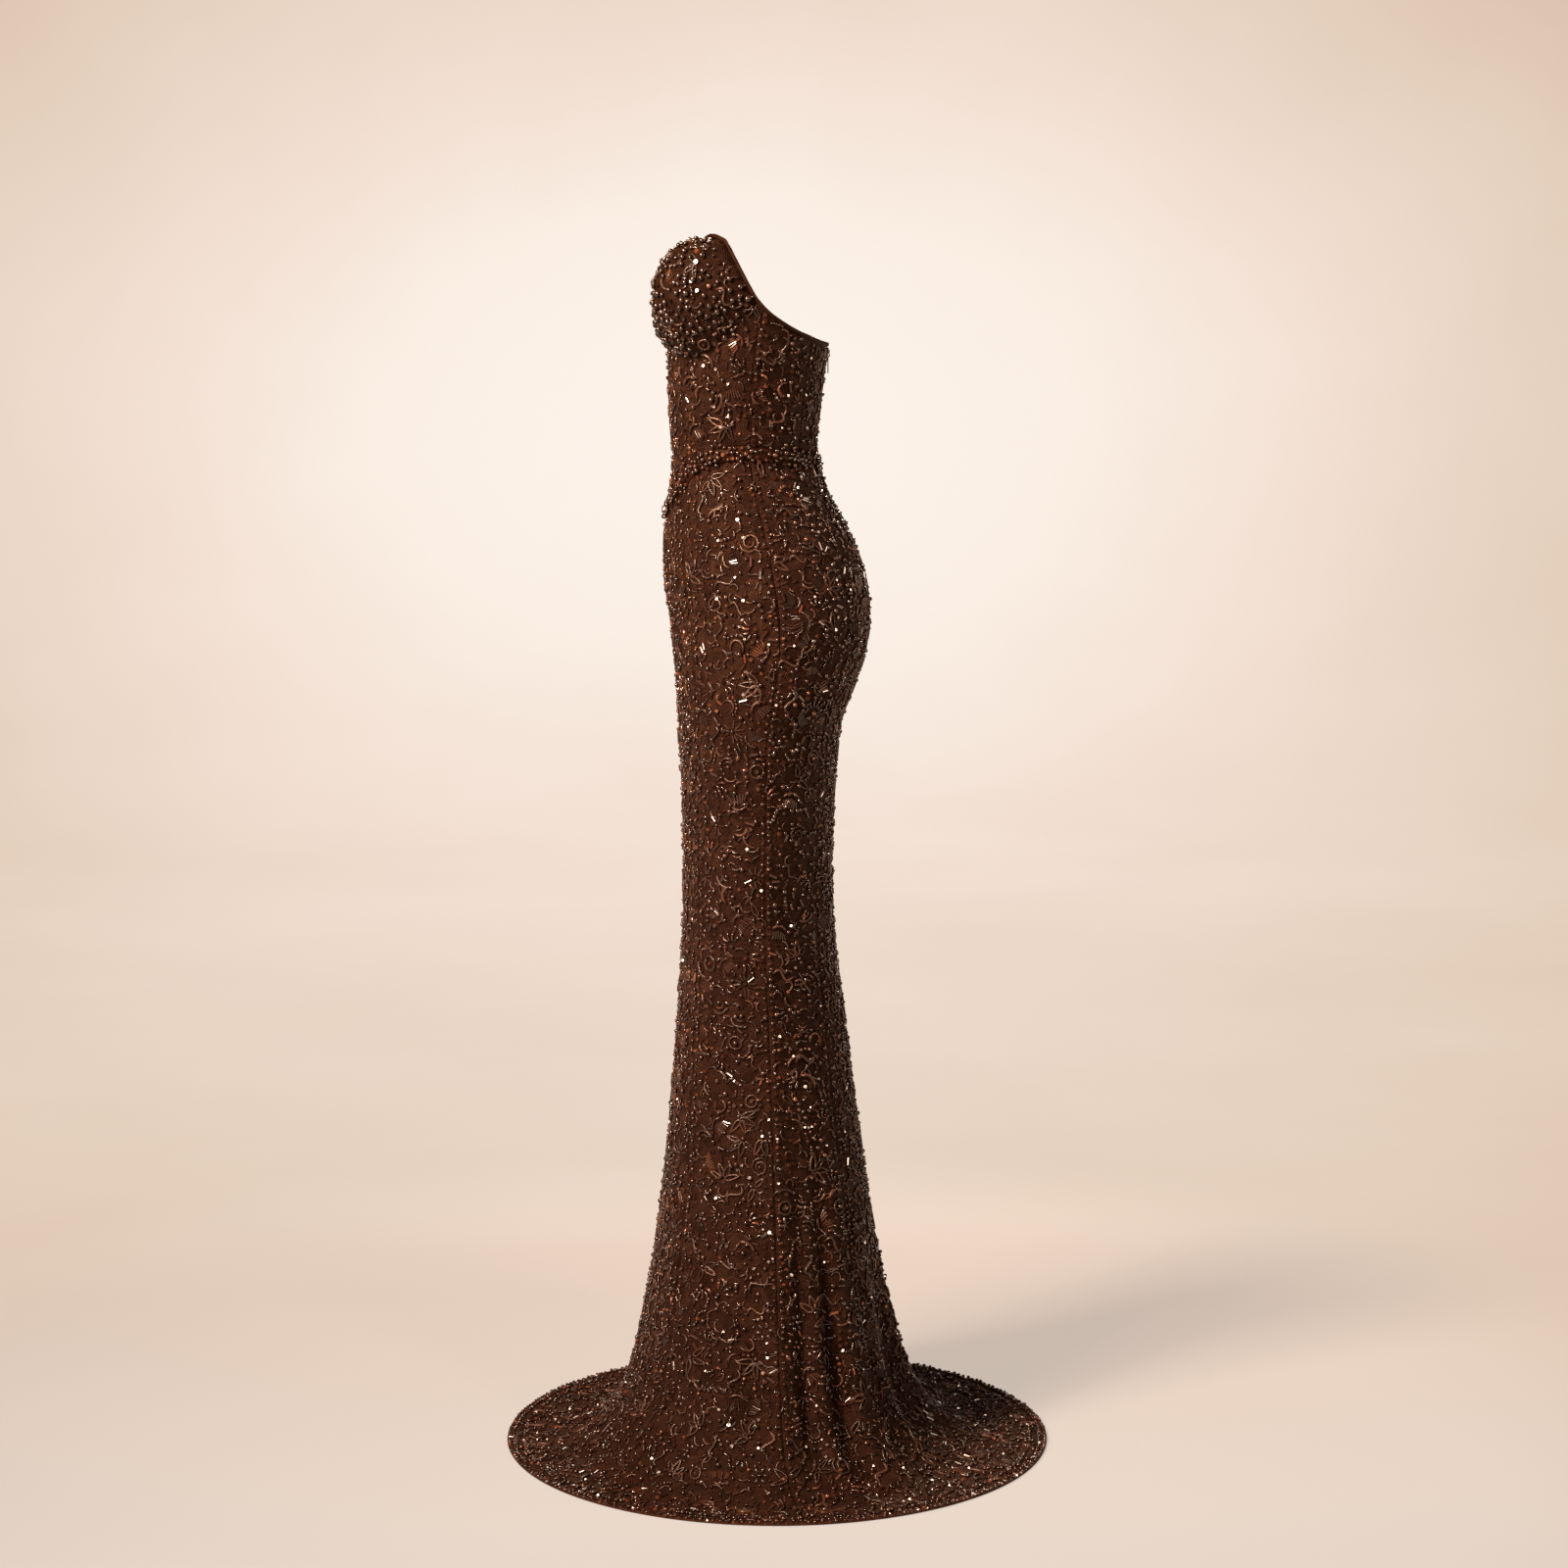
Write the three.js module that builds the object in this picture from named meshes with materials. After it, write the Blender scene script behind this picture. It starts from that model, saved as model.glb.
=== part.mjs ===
// A strapless evening gown of beaded cloth in its worn shape, hollow and open at both ends. Two moulded cups sit
// on a seven-panel bodice with a pointed basque waist, and seven skirt gores flare into a round train that lies
// flat on the floor. Millimetres, +Z up, the front faces -Y and the wearer's left is +X.
import * as THREE from "three";

// Cloth and seams
const CLOTH = 2.4; // satin, net and couched cord together
const SEAM = 0.3; // between two pieces
const BINDING = 5; // height of the bound neckline
const BAND = 17; // height of the beaded band over the waist seam
const BAND_RISE = 3; // how far that band stands out
const HEM_BAND = 10; // width of the turned hem
const HEM_THICKNESS = 3.4;

// Where the wearer's waist holds the gown: the origin, measured from the floor and from the train's centre
const WAIST_HEIGHT = 1180;
const WAIST_FORWARD = 38;

// Angles run round the body from the centre front, 0, over the wearer's left, 90, to the centre back, 180.
const STEP = 6; // one column of facets
const PRINCESS_SEAM = 42;
const SIDE_SEAM = 96;
const BACK_SEAM = 138;
const CUP_END = 90;

// The cups: how far they stand out from the chest, and the lines on which they stand out most
const CUP_DEPTH = 46;
const CUP_CREST_ANGLE = 38;
const CUP_CREST = 0.6; // of the way up from the underbust seam
const CUP_SPLAY = 12; // degrees that each cup points away from the front
const CUP_BRIDGE = 0.15; // of the depth that is left between the two cups

// Table rows become objects with the named columns.
const table = (columns, rows) =>
  rows.map((row) => Object.fromEntries(columns.split(" ").map((name, i) => [name, row[i]])));

// Level sections from the neckline down to the train's edge: height above the floor, distance of the front and of
// the back from the train's centre line, half the width, and how square the ring is, 2 being an ellipse.
const SECTIONS = table("height front back half square", [
  [1446, 86, 93, 136, 2.3],
  [1405, 101, 88, 138, 2.3],
  [1366, 111, 74, 139, 2.3],
  [1312, 125, 59, 128, 2.3],
  [1258, 125, 51, 118, 2.2],
  [1190, 121, 45, 112, 2.2],
  [1148, 123, 56, 121, 2.2],
  [1098, 130, 82, 139, 2.2],
  [1052, 131, 100, 154, 2.2],
  [1006, 125, 108, 165, 2.2],
  [959, 120, 103, 171, 2.2],
  [913, 116, 88, 171, 2.2],
  [866, 114, 73, 166, 2.2],
  [773, 110, 66, 152, 2.2],
  [700, 109, 64, 143, 2.2],
  [620, 111, 67, 137, 2.2],
  [536, 116, 77, 137, 2.2],
  [441, 123, 89, 147, 2.2],
  [345, 132, 102, 162, 2.1],
  [248, 144, 116, 181, 2.1],
  [151, 161, 135, 203, 2],
  [102, 172, 148, 216, 2],
  [60, 187, 165, 230, 2],
  [30, 205, 189, 246, 2],
  [12, 225, 216, 262, 2],
  [CLOTH, 254, 252, 280, 2],
  [CLOTH, 316, 316, 316, 2],
]);

// Heights of the seams that run round the body, by angle
const NECKLINE = table("angle height", [
  [0, 1396],
  [8, 1401],
  [18, 1418],
  [28, 1434],
  [37, 1438],
  [52, 1432],
  [62, 1416],
  [70, 1400],
  [78, 1384],
  [90, 1363],
  [105, 1345],
  [130, 1326],
  [155, 1317],
  [180, 1315],
]);
const UNDERBUST = table("angle height", [
  [0, 1316],
  [24, 1310],
  [41, 1303],
  [53, 1300],
  [65, 1308],
  [74, 1319],
  [84, 1342],
  [90, 1357],
]);
const BASQUE = table("angle height", [
  [0, 1119],
  [15, 1127],
  [30, 1144],
  [40, 1160],
  [50, 1173],
  [60, 1181],
  [72, 1187],
  [90, 1190],
  [130, 1183],
  [180, 1176],
]);

// Flutes of the lower skirt: where each runs, its half width in degrees, how far it stands out or sinks in, and
// the height at which it starts. Each side seam is a soft ridge, with the deepest flutes behind it.
const FLUTES = table("angle spread rise top", [
  [8, 9, 2, 260],
  [40, 9, 2, 280],
  [72, 7, 3, 260],
  [97, 7, 5, 950],
  [107, 5, -7, 330],
  [114, 5, 4, 330],
  [121, 5, -8, 390],
  [133, 9, 8, 430],
  [161, 8, -13, 290],
  [177, 8, 7, 330],
  [199, 8, -9, 300],
  [222, 10, 8, 400],
  [238, 6, -9, 420],
  [249, 6, 4, 330],
  [264, 8, 5, 950],
  [292, 8, 3, 300],
  [330, 9, 2, 280],
]);
const FLUTE_FOOT = 305; // distance from the train's centre at which a flute has died out
const FLUTE_FOOT_RUN = 90; // over which it does so
const SINK_HEIGHT = 80; // below this a sunken flute fades, as the floor is in its way

const radians = THREE.MathUtils.degToRad;
const clamp = THREE.MathUtils.clamp;
const mix = THREE.MathUtils.lerp;
const ease = (t) => THREE.MathUtils.smoothstep(t, 0, 1);

// A smooth curve through points that never overshoots them.
function curveThrough(xs, ys) {
  const rise = ys.slice(1).map((y, i) => (y - ys[i]) / (xs[i + 1] - xs[i]));
  const slope = ys.map((_, i) => {
    const before = rise[Math.max(i - 1, 0)];
    const after = rise[Math.min(i, rise.length - 1)];
    return before * after <= 0 ? 0 : (2 * before * after) / (before + after);
  });
  return (x) => {
    const last = xs.length - 2;
    let i = 0;
    while (i < last && x > xs[i + 1]) i += 1;
    const width = xs[i + 1] - xs[i];
    const t = clamp((x - xs[i]) / width, 0, 1);
    const u = 1 - t;
    return (
      ys[i] * (1 + 2 * t) * u * u +
      slope[i] * width * t * u * u +
      ys[i + 1] * t * t * (3 - 2 * t) -
      slope[i + 1] * width * t * t * u
    );
  };
}
const column = (rows, name) => rows.map((row) => row[name]);

// A station is a row number of SECTIONS, with fractions between the rows.
const LAST_STATION = SECTIONS.length - 1;
const sectionCurve = Object.fromEntries(
  Object.keys(SECTIONS[0]).map((name) => [
    name,
    curveThrough(
      SECTIONS.map((_, i) => i),
      column(SECTIONS, name),
    ),
  ]),
);

function stationAt(height) {
  let low = 0;
  let high = LAST_STATION - 1;
  for (let i = 0; i < 40; i += 1) {
    const middle = (low + high) / 2;
    if (sectionCurve.height(middle) > height) low = middle;
    else high = middle;
  }
  return (low + high) / 2;
}

// Seam heights are the same on both sides of the body.
function seamHeight(rows) {
  const curve = curveThrough(column(rows, "angle"), column(rows, "height"));
  return (angle) => curve(angle > 180 ? 360 - angle : Math.abs(angle));
}
const neckline = seamHeight(NECKLINE);
const underbust = seamHeight(UNDERBUST);
const basque = seamHeight(BASQUE);

// A point of the plain ring at a station, before the flutes.
function ringPoint(angle, station) {
  const at = Object.fromEntries(Object.entries(sectionCurve).map(([name, curve]) => [name, curve(station)]));
  const turn = radians(angle);
  const sine = Math.sin(turn);
  const cosine = Math.cos(turn);
  const reach = (Math.abs(sine) ** at.square + Math.abs(cosine) ** at.square) ** (-1 / at.square);
  const middle = (at.back - at.front) / 2;
  const depth = (at.back + at.front) / 2;
  return new THREE.Vector3(at.half * reach * sine, middle - depth * reach * cosine, at.height);
}

function fluteRise(angle, point) {
  const foot = ease((FLUTE_FOOT - Math.hypot(point.x, point.y)) / FLUTE_FOOT_RUN);
  return FLUTES.reduce((sum, flute) => {
    const away = Math.abs(((angle - flute.angle + 540) % 360) - 180) / flute.spread;
    const start = ease((flute.top - point.z) / (flute.top * 0.75));
    const sink = flute.rise < 0 ? ease(point.z / SINK_HEIGHT) : 1;
    return sum + flute.rise * Math.exp(-away * away) * start * foot * sink;
  }, 0);
}

// Outward unit normal of a surface given by point(angle, position), from small steps both ways.
function normalOf(point, angle, position, low, high) {
  const turn = 0.05;
  const run = (high - low) * 1e-3;
  const across = point(angle + turn, position).sub(point(angle - turn, position));
  const down = point(angle, Math.min(position + run, high)).sub(point(angle, Math.max(position - run, low)));
  return down.cross(across).normalize();
}

// The cloth's outer face below the cups, by angle and station.
function bodyPoint(angle, station) {
  const plain = ringPoint(angle, station);
  const normal = normalOf(ringPoint, angle, station, 0, LAST_STATION);
  return plain.addScaledVector(normal, fluteRise(angle, plain));
}

// A wall through a grid of outer points, closed on every side. Positions run from 0 at the piece's upper edge to
// 1 at its lower edge. The wall lies inwards, and rise lifts the outer points at each position.
function wall(point, angles, positions, thickness = CLOTH, rise = () => 0) {
  const columns = angles.length;
  const rows = positions.length;
  const corners = [[], []];
  positions.forEach((position) =>
    angles.forEach((angle, j) => {
      const normal = normalOf(point, angle, position, 0, 1);
      const at = point(angle, position);
      // The first and last columns give way to the seam.
      const side = j === 0 ? 1 : j === columns - 1 ? -1 : 0;
      if (side) at.addScaledVector(point(angle + side, position).sub(at).normalize(), SEAM / 2);
      corners[0].push(at.clone().addScaledVector(normal, rise(position)));
      corners[1].push(at.addScaledVector(normal, -thickness));
    }),
  );
  const vertices = corners.flat();
  const faces = [];
  const quad = (a, b, c, d) => faces.push(a, b, c, a, c, d);
  const outer = (i, j) => i * columns + j;
  const inner = (i, j) => rows * columns + outer(i, j);
  for (let i = 0; i < rows - 1; i += 1) {
    for (let j = 0; j < columns - 1; j += 1) {
      quad(outer(i, j), outer(i + 1, j), outer(i + 1, j + 1), outer(i, j + 1));
      quad(inner(i, j), inner(i, j + 1), inner(i + 1, j + 1), inner(i + 1, j));
    }
    quad(outer(i, 0), inner(i, 0), inner(i + 1, 0), outer(i + 1, 0));
    const j = columns - 1;
    quad(outer(i, j), outer(i + 1, j), inner(i + 1, j), inner(i, j));
  }
  for (let j = 0; j < columns - 1; j += 1) {
    quad(outer(0, j), outer(0, j + 1), inner(0, j + 1), inner(0, j));
    const i = rows - 1;
    quad(outer(i, j), inner(i, j), inner(i, j + 1), outer(i, j + 1));
  }
  return new THREE.BufferGeometry().setFromPoints(vertices).setIndex(faces);
}

const anglesBetween = (from, to) =>
  Array.from({ length: Math.round((to - from) / STEP) + 1 }, (_, i) => from + i * STEP);
function evenly(count) {
  const rows = Math.round(count);
  return Array.from({ length: rows + 1 }, (_, i) => i / rows);
}

// Position 0 to 1 between two edges, each a station by angle, on the body's surface.
const between = (upper, lower) => (angle, position) =>
  bodyPoint(angle, mix(upper(angle), lower(angle), position));

const satin = new THREE.MeshStandardMaterial({ color: 0x3b231a, roughness: 0.55, metalness: 0 });
const cord = new THREE.MeshStandardMaterial({ color: 0x2c1912, roughness: 0.4, metalness: 0 });
const metal = new THREE.MeshStandardMaterial({ color: 0x4a3a2e, roughness: 0.35, metalness: 0.9 });

const gown = new THREE.Group();
const body = new THREE.Group(); // measured from the floor, at the train's centre
body.position.set(0, WAIST_FORWARD, -WAIST_HEIGHT);
gown.add(body);

function add(name, geometry, material, parent = body) {
  const mesh = new THREE.Mesh(geometry, material);
  mesh.name = name;
  parent.add(mesh);
  return mesh;
}

// The seven vertical panels that bodice and skirt share
const PANELS = table("name from to", [
  ["front", -PRINCESS_SEAM, PRINCESS_SEAM],
  ["side_front_left", PRINCESS_SEAM, SIDE_SEAM],
  ["side_front_right", 360 - SIDE_SEAM, 360 - PRINCESS_SEAM],
  ["side_back_left", SIDE_SEAM, BACK_SEAM],
  ["side_back_right", 360 - BACK_SEAM, 360 - SIDE_SEAM],
  ["back_left", BACK_SEAM, 180],
  ["back_right", 180, 360 - BACK_SEAM],
]);

// Cups: a dome between the underbust seam and the bound neckline
function bulge(away, roundness) {
  return (1 - clamp(away, 0, 1) ** roundness) ** (1 / roundness);
}

function cupPoint(angle, position) {
  const low = underbust(angle) + SEAM / 2;
  const high = neckline(angle) - BINDING - SEAM / 2;
  const up = 1 - position;
  const at = ringPoint(angle, stationAt(mix(low, high, up)));
  const upright = up > CUP_CREST ? bulge((up - CUP_CREST) / (1 - CUP_CREST), 2.3) : bulge(1 - up / CUP_CREST, 1.5);
  const turn = Math.abs(angle > 180 ? angle - 360 : angle);
  const outward = clamp((turn - CUP_CREST_ANGLE) / (CUP_END - CUP_CREST_ANGLE), 0, 1);
  const across =
    turn < CUP_CREST_ANGLE ? mix(CUP_BRIDGE, 1, ease(turn / CUP_CREST_ANGLE)) : (1 - outward ** 2) ** 0.9;
  const splay = radians(CUP_SPLAY) * Math.sign(angle > 180 ? -1 : angle);
  const depth = CUP_DEPTH * upright * across;
  return at.add(new THREE.Vector3(Math.sin(splay) * depth, -Math.cos(splay) * depth, 0));
}

function makeCups() {
  const rows = [0, 0.04, 0.11, 0.2, 0.3, 0.4, 0.52, 0.64, 0.76, 0.87, 0.95, 1];
  add("cup_left", wall(cupPoint, anglesBetween(0, CUP_END), rows), satin);
  add("cup_right", wall(cupPoint, anglesBetween(360 - CUP_END, 360), rows), satin);
}

// Bodice: from under the cups, or from the binding behind them, down to the waist band
function makeBodice() {
  const upper = (angle) => {
    const turn = Math.abs(angle > 180 ? angle - 360 : angle);
    const height = turn <= CUP_END ? underbust(angle) : neckline(angle) - BINDING;
    return stationAt(height - SEAM / 2);
  };
  const lower = (angle) => stationAt(basque(angle) + BAND / 2 + SEAM / 2);
  PANELS.forEach(({ name, from, to }) => {
    add(`bodice_${name}`, wall(between(upper, lower), anglesBetween(from, to), evenly(5)), satin);
  });
}

// Narrow strips run once round the body, open at the centre back for the zip.
function strip(upper, lower, rows, thickness, rise) {
  const surface = between(
    (angle) => stationAt(upper(angle)),
    (angle) => stationAt(lower(angle)),
  );
  return wall(surface, anglesBetween(-180, 180), evenly(rows), thickness, rise);
}

function makeNecklineBinding() {
  const lower = (angle) => neckline(angle) - BINDING + SEAM / 2;
  const proud = 0.6;
  add("neckline_binding", strip(neckline, lower, 2, CLOTH + proud, (v) => proud + Math.sin(v * Math.PI)), cord);
}

function makeBasqueBand() {
  const upper = (angle) => basque(angle) + BAND / 2 - SEAM / 2;
  const lower = (angle) => basque(angle) - BAND / 2 + SEAM / 2;
  add("basque_band", strip(upper, lower, 3, CLOTH, (v) => BAND_RISE * Math.sin(v * Math.PI)), cord);
}

// Skirt: one gore for each panel, from the waist band over hip and knee to the train.
function makeSkirt() {
  const upper = (angle) => stationAt(basque(angle) - BAND / 2 - SEAM / 2);
  const lower = () => LAST_STATION;
  const rows = evenly(LAST_STATION - stationAt(BASQUE[0].height - BAND / 2) + 0.5);
  PANELS.forEach(({ name, from, to }) => {
    add(`skirt_${name}`, wall(between(upper, lower), anglesBetween(from, to), rows), satin);
  });
}

// Hem: the train's edge, turned under and beaded, flat below and rounded above
function makeHemBand() {
  const inner = SECTIONS[LAST_STATION].half + 0.8; // clear of the gores' straight facets
  const outer = inner + HEM_BAND;
  const soft = 1.2;
  const section = [
    [inner, 0],
    [outer - soft, 0],
    [outer, soft],
    [outer - soft, HEM_THICKNESS],
    [inner + soft, HEM_THICKNESS],
    [inner, CLOTH],
    [inner, 0],
  ].map(([x, z]) => new THREE.Vector2(x, z));
  const facets = 72;
  const ring = new THREE.LatheGeometry(section, facets).deleteAttribute("normal").deleteAttribute("uv");
  add("hem_band", ring.rotateX(Math.PI / 2), cord);
}

// Zip: concealed in the centre back seam, closed. Its slider shows at the top, with a tab that swings on it.
const ZIP_TOP = 1301; // height of the tab's pivot
const SLIDER = { length: 9, plate: 0.7, floor: 0.9, pivot: 2.6, arch: 2.6, hole: 1.5, width: 2.2 };
const TAB = { length: 21, width: 5, thickness: 1.2, bar: 0.6, window: 3, windowWidth: 3.1, cheek: 0.8 };

const corner = (x, y) => new THREE.Vector2(x, y);

// Points of a half circle about (x, y), from one angle in degrees to another.
function halfCircle(x, y, radius, from, to) {
  const facets = 8;
  return Array.from({ length: facets + 1 }, (_, i) => {
    const turn = radians(mix(from, to, i / facets));
    return corner(x + radius * Math.cos(turn), y + radius * Math.sin(turn));
  });
}

// A flat plate of the given thickness, centred on its outline's plane, with one hole.
function plate(outline, hole, thickness) {
  const shape = new THREE.Shape(outline);
  shape.holes.push(new THREE.Path(hole));
  const solid = new THREE.ExtrudeGeometry(shape, { depth: thickness, bevelEnabled: false });
  return solid.translate(0, 0, -thickness / 2);
}

// The slider's arch stands on its plate. Here x runs up the zip and y away from the cloth.
function makeSlider(seat, tilt) {
  const half = SLIDER.length / 2;
  const top = SEAM + SLIDER.plate;
  const outline = [
    corner(-half, SEAM),
    corner(half, SEAM),
    corner(half, top),
    corner(SLIDER.arch, top),
    ...halfCircle(0, SLIDER.pivot, SLIDER.arch, 0, 180),
    corner(-SLIDER.arch, top),
    corner(-half, top),
  ];
  const floor = SEAM + SLIDER.floor;
  const hole = [
    corner(SLIDER.hole, floor),
    ...halfCircle(0, SLIDER.pivot, SLIDER.hole, 0, 180),
    corner(-SLIDER.hole, floor),
  ];
  const slider = add("zip_slider", plate(outline, hole, SLIDER.width).rotateY(-Math.PI / 2), metal);
  slider.position.copy(seat);
  slider.rotation.x = tilt;
}

// The tab hangs plumb. Its drop shape has a window that the slider's arch passes through.
function makeTab(pivot) {
  const round = TAB.width / 2;
  const side = TAB.windowWidth / 2;
  const shoulder = side + TAB.cheek;
  const outline = [
    corner(shoulder, TAB.bar),
    corner(-shoulder, TAB.bar),
    corner(-shoulder, -TAB.window - TAB.cheek),
    ...halfCircle(0, round - TAB.length, round, 180, 360),
    corner(shoulder, -TAB.window - TAB.cheek),
  ];
  const hole = [
    corner(-side, -TAB.bar),
    corner(side, -TAB.bar),
    corner(side, -TAB.window),
    corner(-side, -TAB.window),
  ];
  const tab = add("zip_tab", plate(outline, hole, TAB.thickness).rotateX(Math.PI / 2), metal);
  tab.position.copy(pivot);
}

function makeZip() {
  const station = stationAt(ZIP_TOP);
  const seat = bodyPoint(180, station);
  const normal = normalOf(bodyPoint, 180, station, 0, LAST_STATION);
  const tilt = Math.atan2(normal.z, normal.y);
  makeSlider(seat, tilt);
  makeTab(seat.addScaledVector(normal, SLIDER.pivot));
}

makeCups();
makeBodice();
makeNecklineBinding();
makeBasqueBand();
makeSkirt();
makeHemBand();
makeZip();

export default gown;
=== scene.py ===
import math
import bmesh
import bpy
import numpy as np
from mathutils import Matrix, Vector


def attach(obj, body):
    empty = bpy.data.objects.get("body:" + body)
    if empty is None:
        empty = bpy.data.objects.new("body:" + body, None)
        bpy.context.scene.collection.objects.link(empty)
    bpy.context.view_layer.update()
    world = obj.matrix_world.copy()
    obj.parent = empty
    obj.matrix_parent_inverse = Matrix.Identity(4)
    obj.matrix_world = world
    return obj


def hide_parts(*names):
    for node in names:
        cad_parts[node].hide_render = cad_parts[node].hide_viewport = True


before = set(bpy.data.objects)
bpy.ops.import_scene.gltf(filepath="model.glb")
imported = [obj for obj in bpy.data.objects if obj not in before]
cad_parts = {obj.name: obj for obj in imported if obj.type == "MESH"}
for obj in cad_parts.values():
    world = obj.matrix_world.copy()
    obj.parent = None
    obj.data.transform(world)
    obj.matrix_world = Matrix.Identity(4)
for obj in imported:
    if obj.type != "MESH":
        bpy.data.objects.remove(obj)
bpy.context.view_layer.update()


# Camera
# It stands four metres off the wearer's left side, at the height of the underbust, and looks a little down.
# A long lens keeps the gown's lines upright and shows the round train as a flat ellipse.
CAMERA_PLACE = (4.0, 0.0463, 0.1415)
CAMERA_DOWN = 7.48
CAMERA_LENS_MM = 78.18

camera_data = bpy.data.cameras.new("camera")
camera_data.lens = CAMERA_LENS_MM
camera_data.sensor_width = 36
camera = bpy.data.objects.new("camera", camera_data)
camera.location = CAMERA_PLACE
camera.rotation_euler = (math.radians(90 - CAMERA_DOWN), 0, math.radians(90))
bpy.context.collection.objects.link(camera)
bpy.context.scene.camera = camera
bpy.context.scene.view_settings.view_transform = "Standard"


# Studio
# A painted canvas sweep of warm cream, laid out below the train and hung all round. A painted pool of light
# makes it lighter behind the gown and darker towards the edges. Close to the gown it takes a soft shadow.
# Further off it has only its own light, so it colours nothing.
FLOOR_Z = -1.18
FLOOR_RADIUS = 5.0
FLOOR_SIDES = 96
SWEEP_RADIUS = 2.0
SWEEP_HEIGHT = 5.0
SWEEP_FACETS = 12
GLOW_MIDDLE = (-7.0, -0.1, -0.15)  # the middle of the painted pool of light, behind the gown as the camera sees it
GLOW_STRETCH = (0.35, 1.0, 1.5)
# Painted light: the canvas darkens outwards from the middle of the pool
BACKDROP_LIGHT_POOL_TINTS = [(0.0, "fdf3ea"), (0.3, "fbefe5"), (0.5, "f3e1d4"), (0.72, "e8d4c3"), (1.0, "d8bfa9")]
GLOW_REACH = 3.4
# The near floor's cream, with a band of painted shade a little darker behind the gown
FLOOR_TINTS_AND_SHADE = [
    (0.0, "f0e3d8"), (0.28, "ddccbf"), (0.4, "d8c8bb"), (0.55, "d8c9bd"), (0.8, "dacec3"), (1.0, "dbd1c8")
]
FLOOR_SHADE_BAND = (-1.4, 0.6)  # painted shade: a band along x where the floor is a little darker behind the gown
FLOOR_CLOSE = 0.825  # the matt floor fades out between these two distances
FLOOR_REACH = 1.5
FLOOR_OWN_LIGHT = 0.8  # the share of the near floor's brightness that no shadow takes away


def linear(hex_colour):
    channels = [int(hex_colour[i:i + 2], 16) / 255 for i in (0, 2, 4)]
    return [c / 12.92 if c <= 0.04045 else ((c + 0.055) / 1.055) ** 2.4 for c in channels] + [1.0]


def add_node(tree, kind, inputs=None, **settings):
    """A shader node with its settings, its values, and its links where a value is another node's socket."""
    node = tree.nodes.new("ShaderNode" + kind)
    for name, value in settings.items():
        setattr(node, name, value)
    for name, value in (inputs or {}).items():
        if isinstance(value, bpy.types.NodeSocket):
            tree.links.new(value, node.inputs[name])
        else:
            node.inputs[name].default_value = value
    return node


def new_material(name, places="Object"):
    """A material, its empty node tree, and the places that its patterns are drawn at."""
    made = bpy.data.materials.new(name)
    made.use_nodes = True
    tree = made.node_tree
    tree.nodes.clear()
    return made, tree, add_node(tree, "TexCoord").outputs[places]


def shown(made, kind, inputs):
    """The material, finished with its last shader."""
    last = add_node(made.node_tree, kind, inputs)
    add_node(made.node_tree, "OutputMaterial", {"Surface": last.outputs[0]})
    return made


def colour_ramp(tree, factor, stops):
    """A ramp through (place, hex colour) stops."""
    ramp = add_node(tree, "ValToRGB", {"Fac": factor})
    marks = ramp.color_ramp.elements
    while len(marks) < len(stops):
        marks.new(0.5)
    for mark, (place, colour) in zip(marks, stops):
        mark.position = place
        mark.color = linear(colour)
    return ramp.outputs["Color"]


def new_piece(name, mesh, *materials):
    made = bpy.data.objects.new(name, mesh)
    bpy.context.collection.objects.link(made)
    for material in materials:
        mesh.materials.append(material)
    return made


def mesh_from(bm, name, smooth=True):
    for face in bm.faces:
        face.smooth = smooth
    mesh = bpy.data.meshes.new(name)
    bm.to_mesh(mesh)
    bm.free()
    return mesh


def canvas_glow(tree, place):
    """The colour of the canvas far from the gown: clouded by the brush, under a painted pool of light that is
    lightest in the view's middle and darker further out.
    """
    near = add_node(tree, "VectorMath", {0: place, 1: GLOW_STRETCH}, operation="MULTIPLY")
    middle = [GLOW_STRETCH[i] * GLOW_MIDDLE[i] for i in range(3)]
    away = add_node(tree, "VectorMath", {0: near.outputs[0], 1: middle}, operation="DISTANCE")
    spread = add_node(tree, "Math", {0: away.outputs["Value"], 1: GLOW_REACH}, operation="DIVIDE")
    cloud = add_node(tree, "TexNoise", {"Vector": place, "Scale": 0.8, "Detail": 5.0, "Roughness": 0.55})
    mottle = add_node(
        tree,
        "MapRange",
        {"Value": cloud.outputs["Fac"], "From Min": 0.3, "From Max": 0.7, "To Min": -0.05, "To Max": 0.05},
    )
    shade = add_node(
        tree, "Math", {0: spread.outputs[0], 1: mottle.outputs["Result"]}, operation="ADD", use_clamp=True
    )
    return colour_ramp(tree, shade.outputs[0], BACKDROP_LIGHT_POOL_TINTS)


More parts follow.
